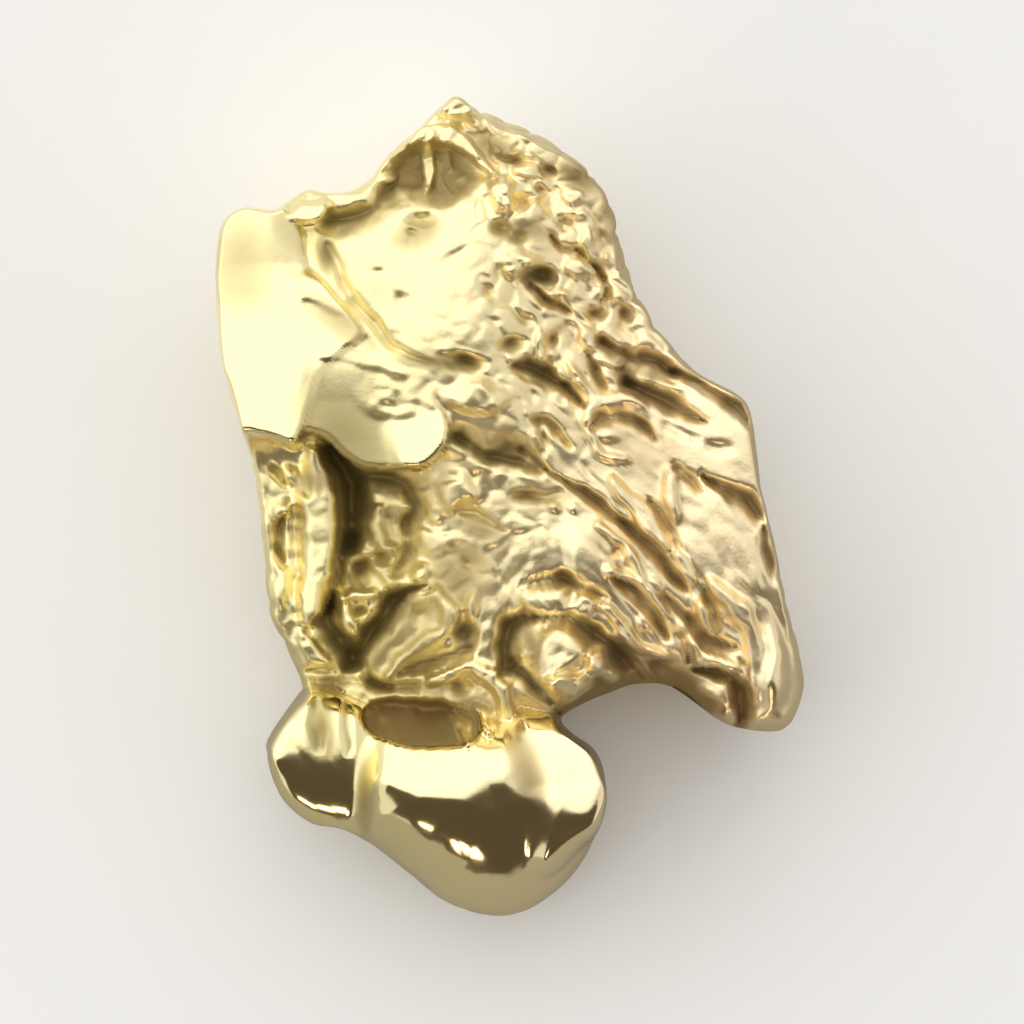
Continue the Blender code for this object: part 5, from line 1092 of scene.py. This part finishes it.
def make_room():
    """The room as the world: a wide soft window at the upper left, a dark stretch below and two lamps."""
    world = bpy.data.worlds.new("room")
    world.use_nodes = True
    bpy.context.scene.world = world
    tree = world.node_tree
    ray = tree.nodes.new("ShaderNodeTexCoord").outputs["Generated"]
    window = facing(tree, ray, KEY_DIRECTION, KEY_EDGES)
    dark = facing(tree, ray, DARK_DIRECTION, DARK_EDGES)
    lit = blend(tree, "FLOAT", window, ENVIRONMENT, KEY_STRENGTH)
    value = blend(tree, "FLOAT", dark, lit, DARK_STRENGTH)
    for lamp in LAMPS:
        value = blend(tree, "FLOAT", facing(tree, ray, lamp, LAMP_EDGES), value, LAMP_STRENGTH)
    tint = blend(tree, "RGBA", dark, (*ROOM_TINT, 1.0), (*DARK_TINT, 1.0))
    background = tree.nodes["Background"]
    tree.links.new(tint, background.inputs["Color"])
    tree.links.new(value, background.inputs["Strength"])


def make_camera(settings):
    """A camera that looks straight down from its height."""
    camera_data = bpy.data.cameras.new("camera")
    camera_data.lens = CAMERA_LENS
    camera_data.sensor_width = CAMERA_SENSOR
    camera_data.clip_start, camera_data.clip_end = CAMERA_CLIP
    camera = bpy.data.objects.new("camera", camera_data)
    camera.location = (*CAMERA_PLACE, settings.camera_height)
    bpy.context.collection.objects.link(camera)
    bpy.context.scene.camera = camera


class NuggetSettings(bpy.types.PropertyGroup):
    """Size and finish of the nugget"""

    columns: bpy.props.IntProperty(
        name="Columns", description="Points of the skin round its edge", default=760, min=64, max=780)
    bright_colour: bpy.props.FloatVectorProperty(
        name="Bright gold", description="Colour of the worn, bright metal", subtype="COLOR",
        default=(0.97, 0.85, 0.46), min=0.0, max=1.0)
    # Painted light: the warmer tint on the right stands in for the different light there.
    right_light_colour: bpy.props.FloatVectorProperty(
        name="Warm gold", description="Colour of the bright metal on the right side", subtype="COLOR",
        default=(0.97, 0.81, 0.51), min=0.0, max=1.0)
    # Painted shade: the colour that the pits, folds, walls and listed patches darken to.
    shade_colour: bpy.props.FloatVectorProperty(
        name="Shaded gold", description="Colour of the metal in pits and folds", subtype="COLOR",
        default=(0.40, 0.32, 0.13), min=0.0, max=1.0)
    right_shade_colour: bpy.props.FloatVectorProperty(
        name="Shaded warm gold", description="Colour of the metal in pits on the right side", subtype="COLOR",
        default=(0.42, 0.32, 0.16), min=0.0, max=1.0)
    # Painted red-brown reflection and shade in the bowl and by the notch.
    red_shade_colour: bpy.props.FloatVectorProperty(
        name="Red_shade", description="Colour of the red-brown painted_reflection in the bowl", subtype="COLOR",
        default=(0.54, 0.37, 0.18), min=0.0, max=1.0)
    polished_roughness: bpy.props.FloatProperty(
        name="Polished roughness", description="Roughness of the slab and the lobes",
        subtype="FACTOR", default=0.12, min=0.0, max=1.0)
    rough_roughness: bpy.props.FloatProperty(
        name="Skin roughness", description="Roughness of the pitted skin",
        subtype="FACTOR", default=0.44, min=0.0, max=1.0)


class StageSettings(bpy.types.PropertyGroup):
    """Floor, light and camera"""

    floor_colour: bpy.props.FloatVectorProperty(
        name="Floor", description="Colour of the floor", subtype="COLOR", default=(0.9, 0.9, 0.9),
        min=0.0, max=1.0)
    floor_seen_in_gold: bpy.props.FloatVectorProperty(
        name="Floor in the gold", description="Colour that the gold mirrors from the floor",
        subtype="COLOR", default=(0.40, 0.38, 0.35), min=0.0, max=1.0)
    camera_height: bpy.props.FloatProperty(
        name="Camera height", description="Height of the camera over the floor", subtype="DISTANCE",
        unit="LENGTH", default=0.1438, min=0.05, max=1.0)


class NUGGET_OT_skin(bpy.types.Operator):
    """Makes the nugget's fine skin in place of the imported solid"""

    bl_idname = "nugget.skin"
    bl_label = "Make the nugget"

    def execute(self, context):
        settings = context.scene.nugget_settings
        mesh = skin_mesh("nugget_skin", settings.columns)
        mesh.materials.append(gold_material(settings))
        piece = bpy.data.objects.new("nugget_skin", mesh)
        context.collection.objects.link(piece)
        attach(piece, "root")
        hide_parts("nugget")
        return {"FINISHED"}


class NUGGET_OT_stage(bpy.types.Operator):
    """Makes the floor, the light and the camera"""

    bl_idname = "nugget.stage"
    bl_label = "Make the stage"

    def execute(self, context):
        settings = context.scene.stage_settings
        make_floor(settings)
        make_room()
        make_camera(settings)
        context.scene.view_settings.view_transform = "Standard"
        return {"FINISHED"}


class NUGGET_PT_panel(bpy.types.Panel):
    """Lists what the add-on makes"""

    bl_idname = "NUGGET_PT_panel"
    bl_label = "Gold nugget"
    bl_space_type = "VIEW_3D"
    bl_region_type = "UI"
    bl_category = "Nugget"

    def draw(self, context):
        layout = self.layout
        for group in (context.scene.nugget_settings, context.scene.stage_settings):
            for name in group.__annotations__:
                layout.prop(group, name)
        for operator in STEPS:
            layout.operator(operator.bl_idname)


STEPS = (NUGGET_OT_skin, NUGGET_OT_stage)
CLASSES = (NuggetSettings, StageSettings, *STEPS, NUGGET_PT_panel)


def register():
    for each in CLASSES:
        bpy.utils.register_class(each)
    bpy.types.Scene.nugget_settings = bpy.props.PointerProperty(type=NuggetSettings)
    bpy.types.Scene.stage_settings = bpy.props.PointerProperty(type=StageSettings)


def unregister():
    del bpy.types.Scene.stage_settings
    del bpy.types.Scene.nugget_settings
    for each in reversed(CLASSES):
        bpy.utils.unregister_class(each)


def main():
    register()
    bpy.ops.nugget.skin()
    bpy.ops.nugget.stage()


if __name__ == "__main__":
    main()
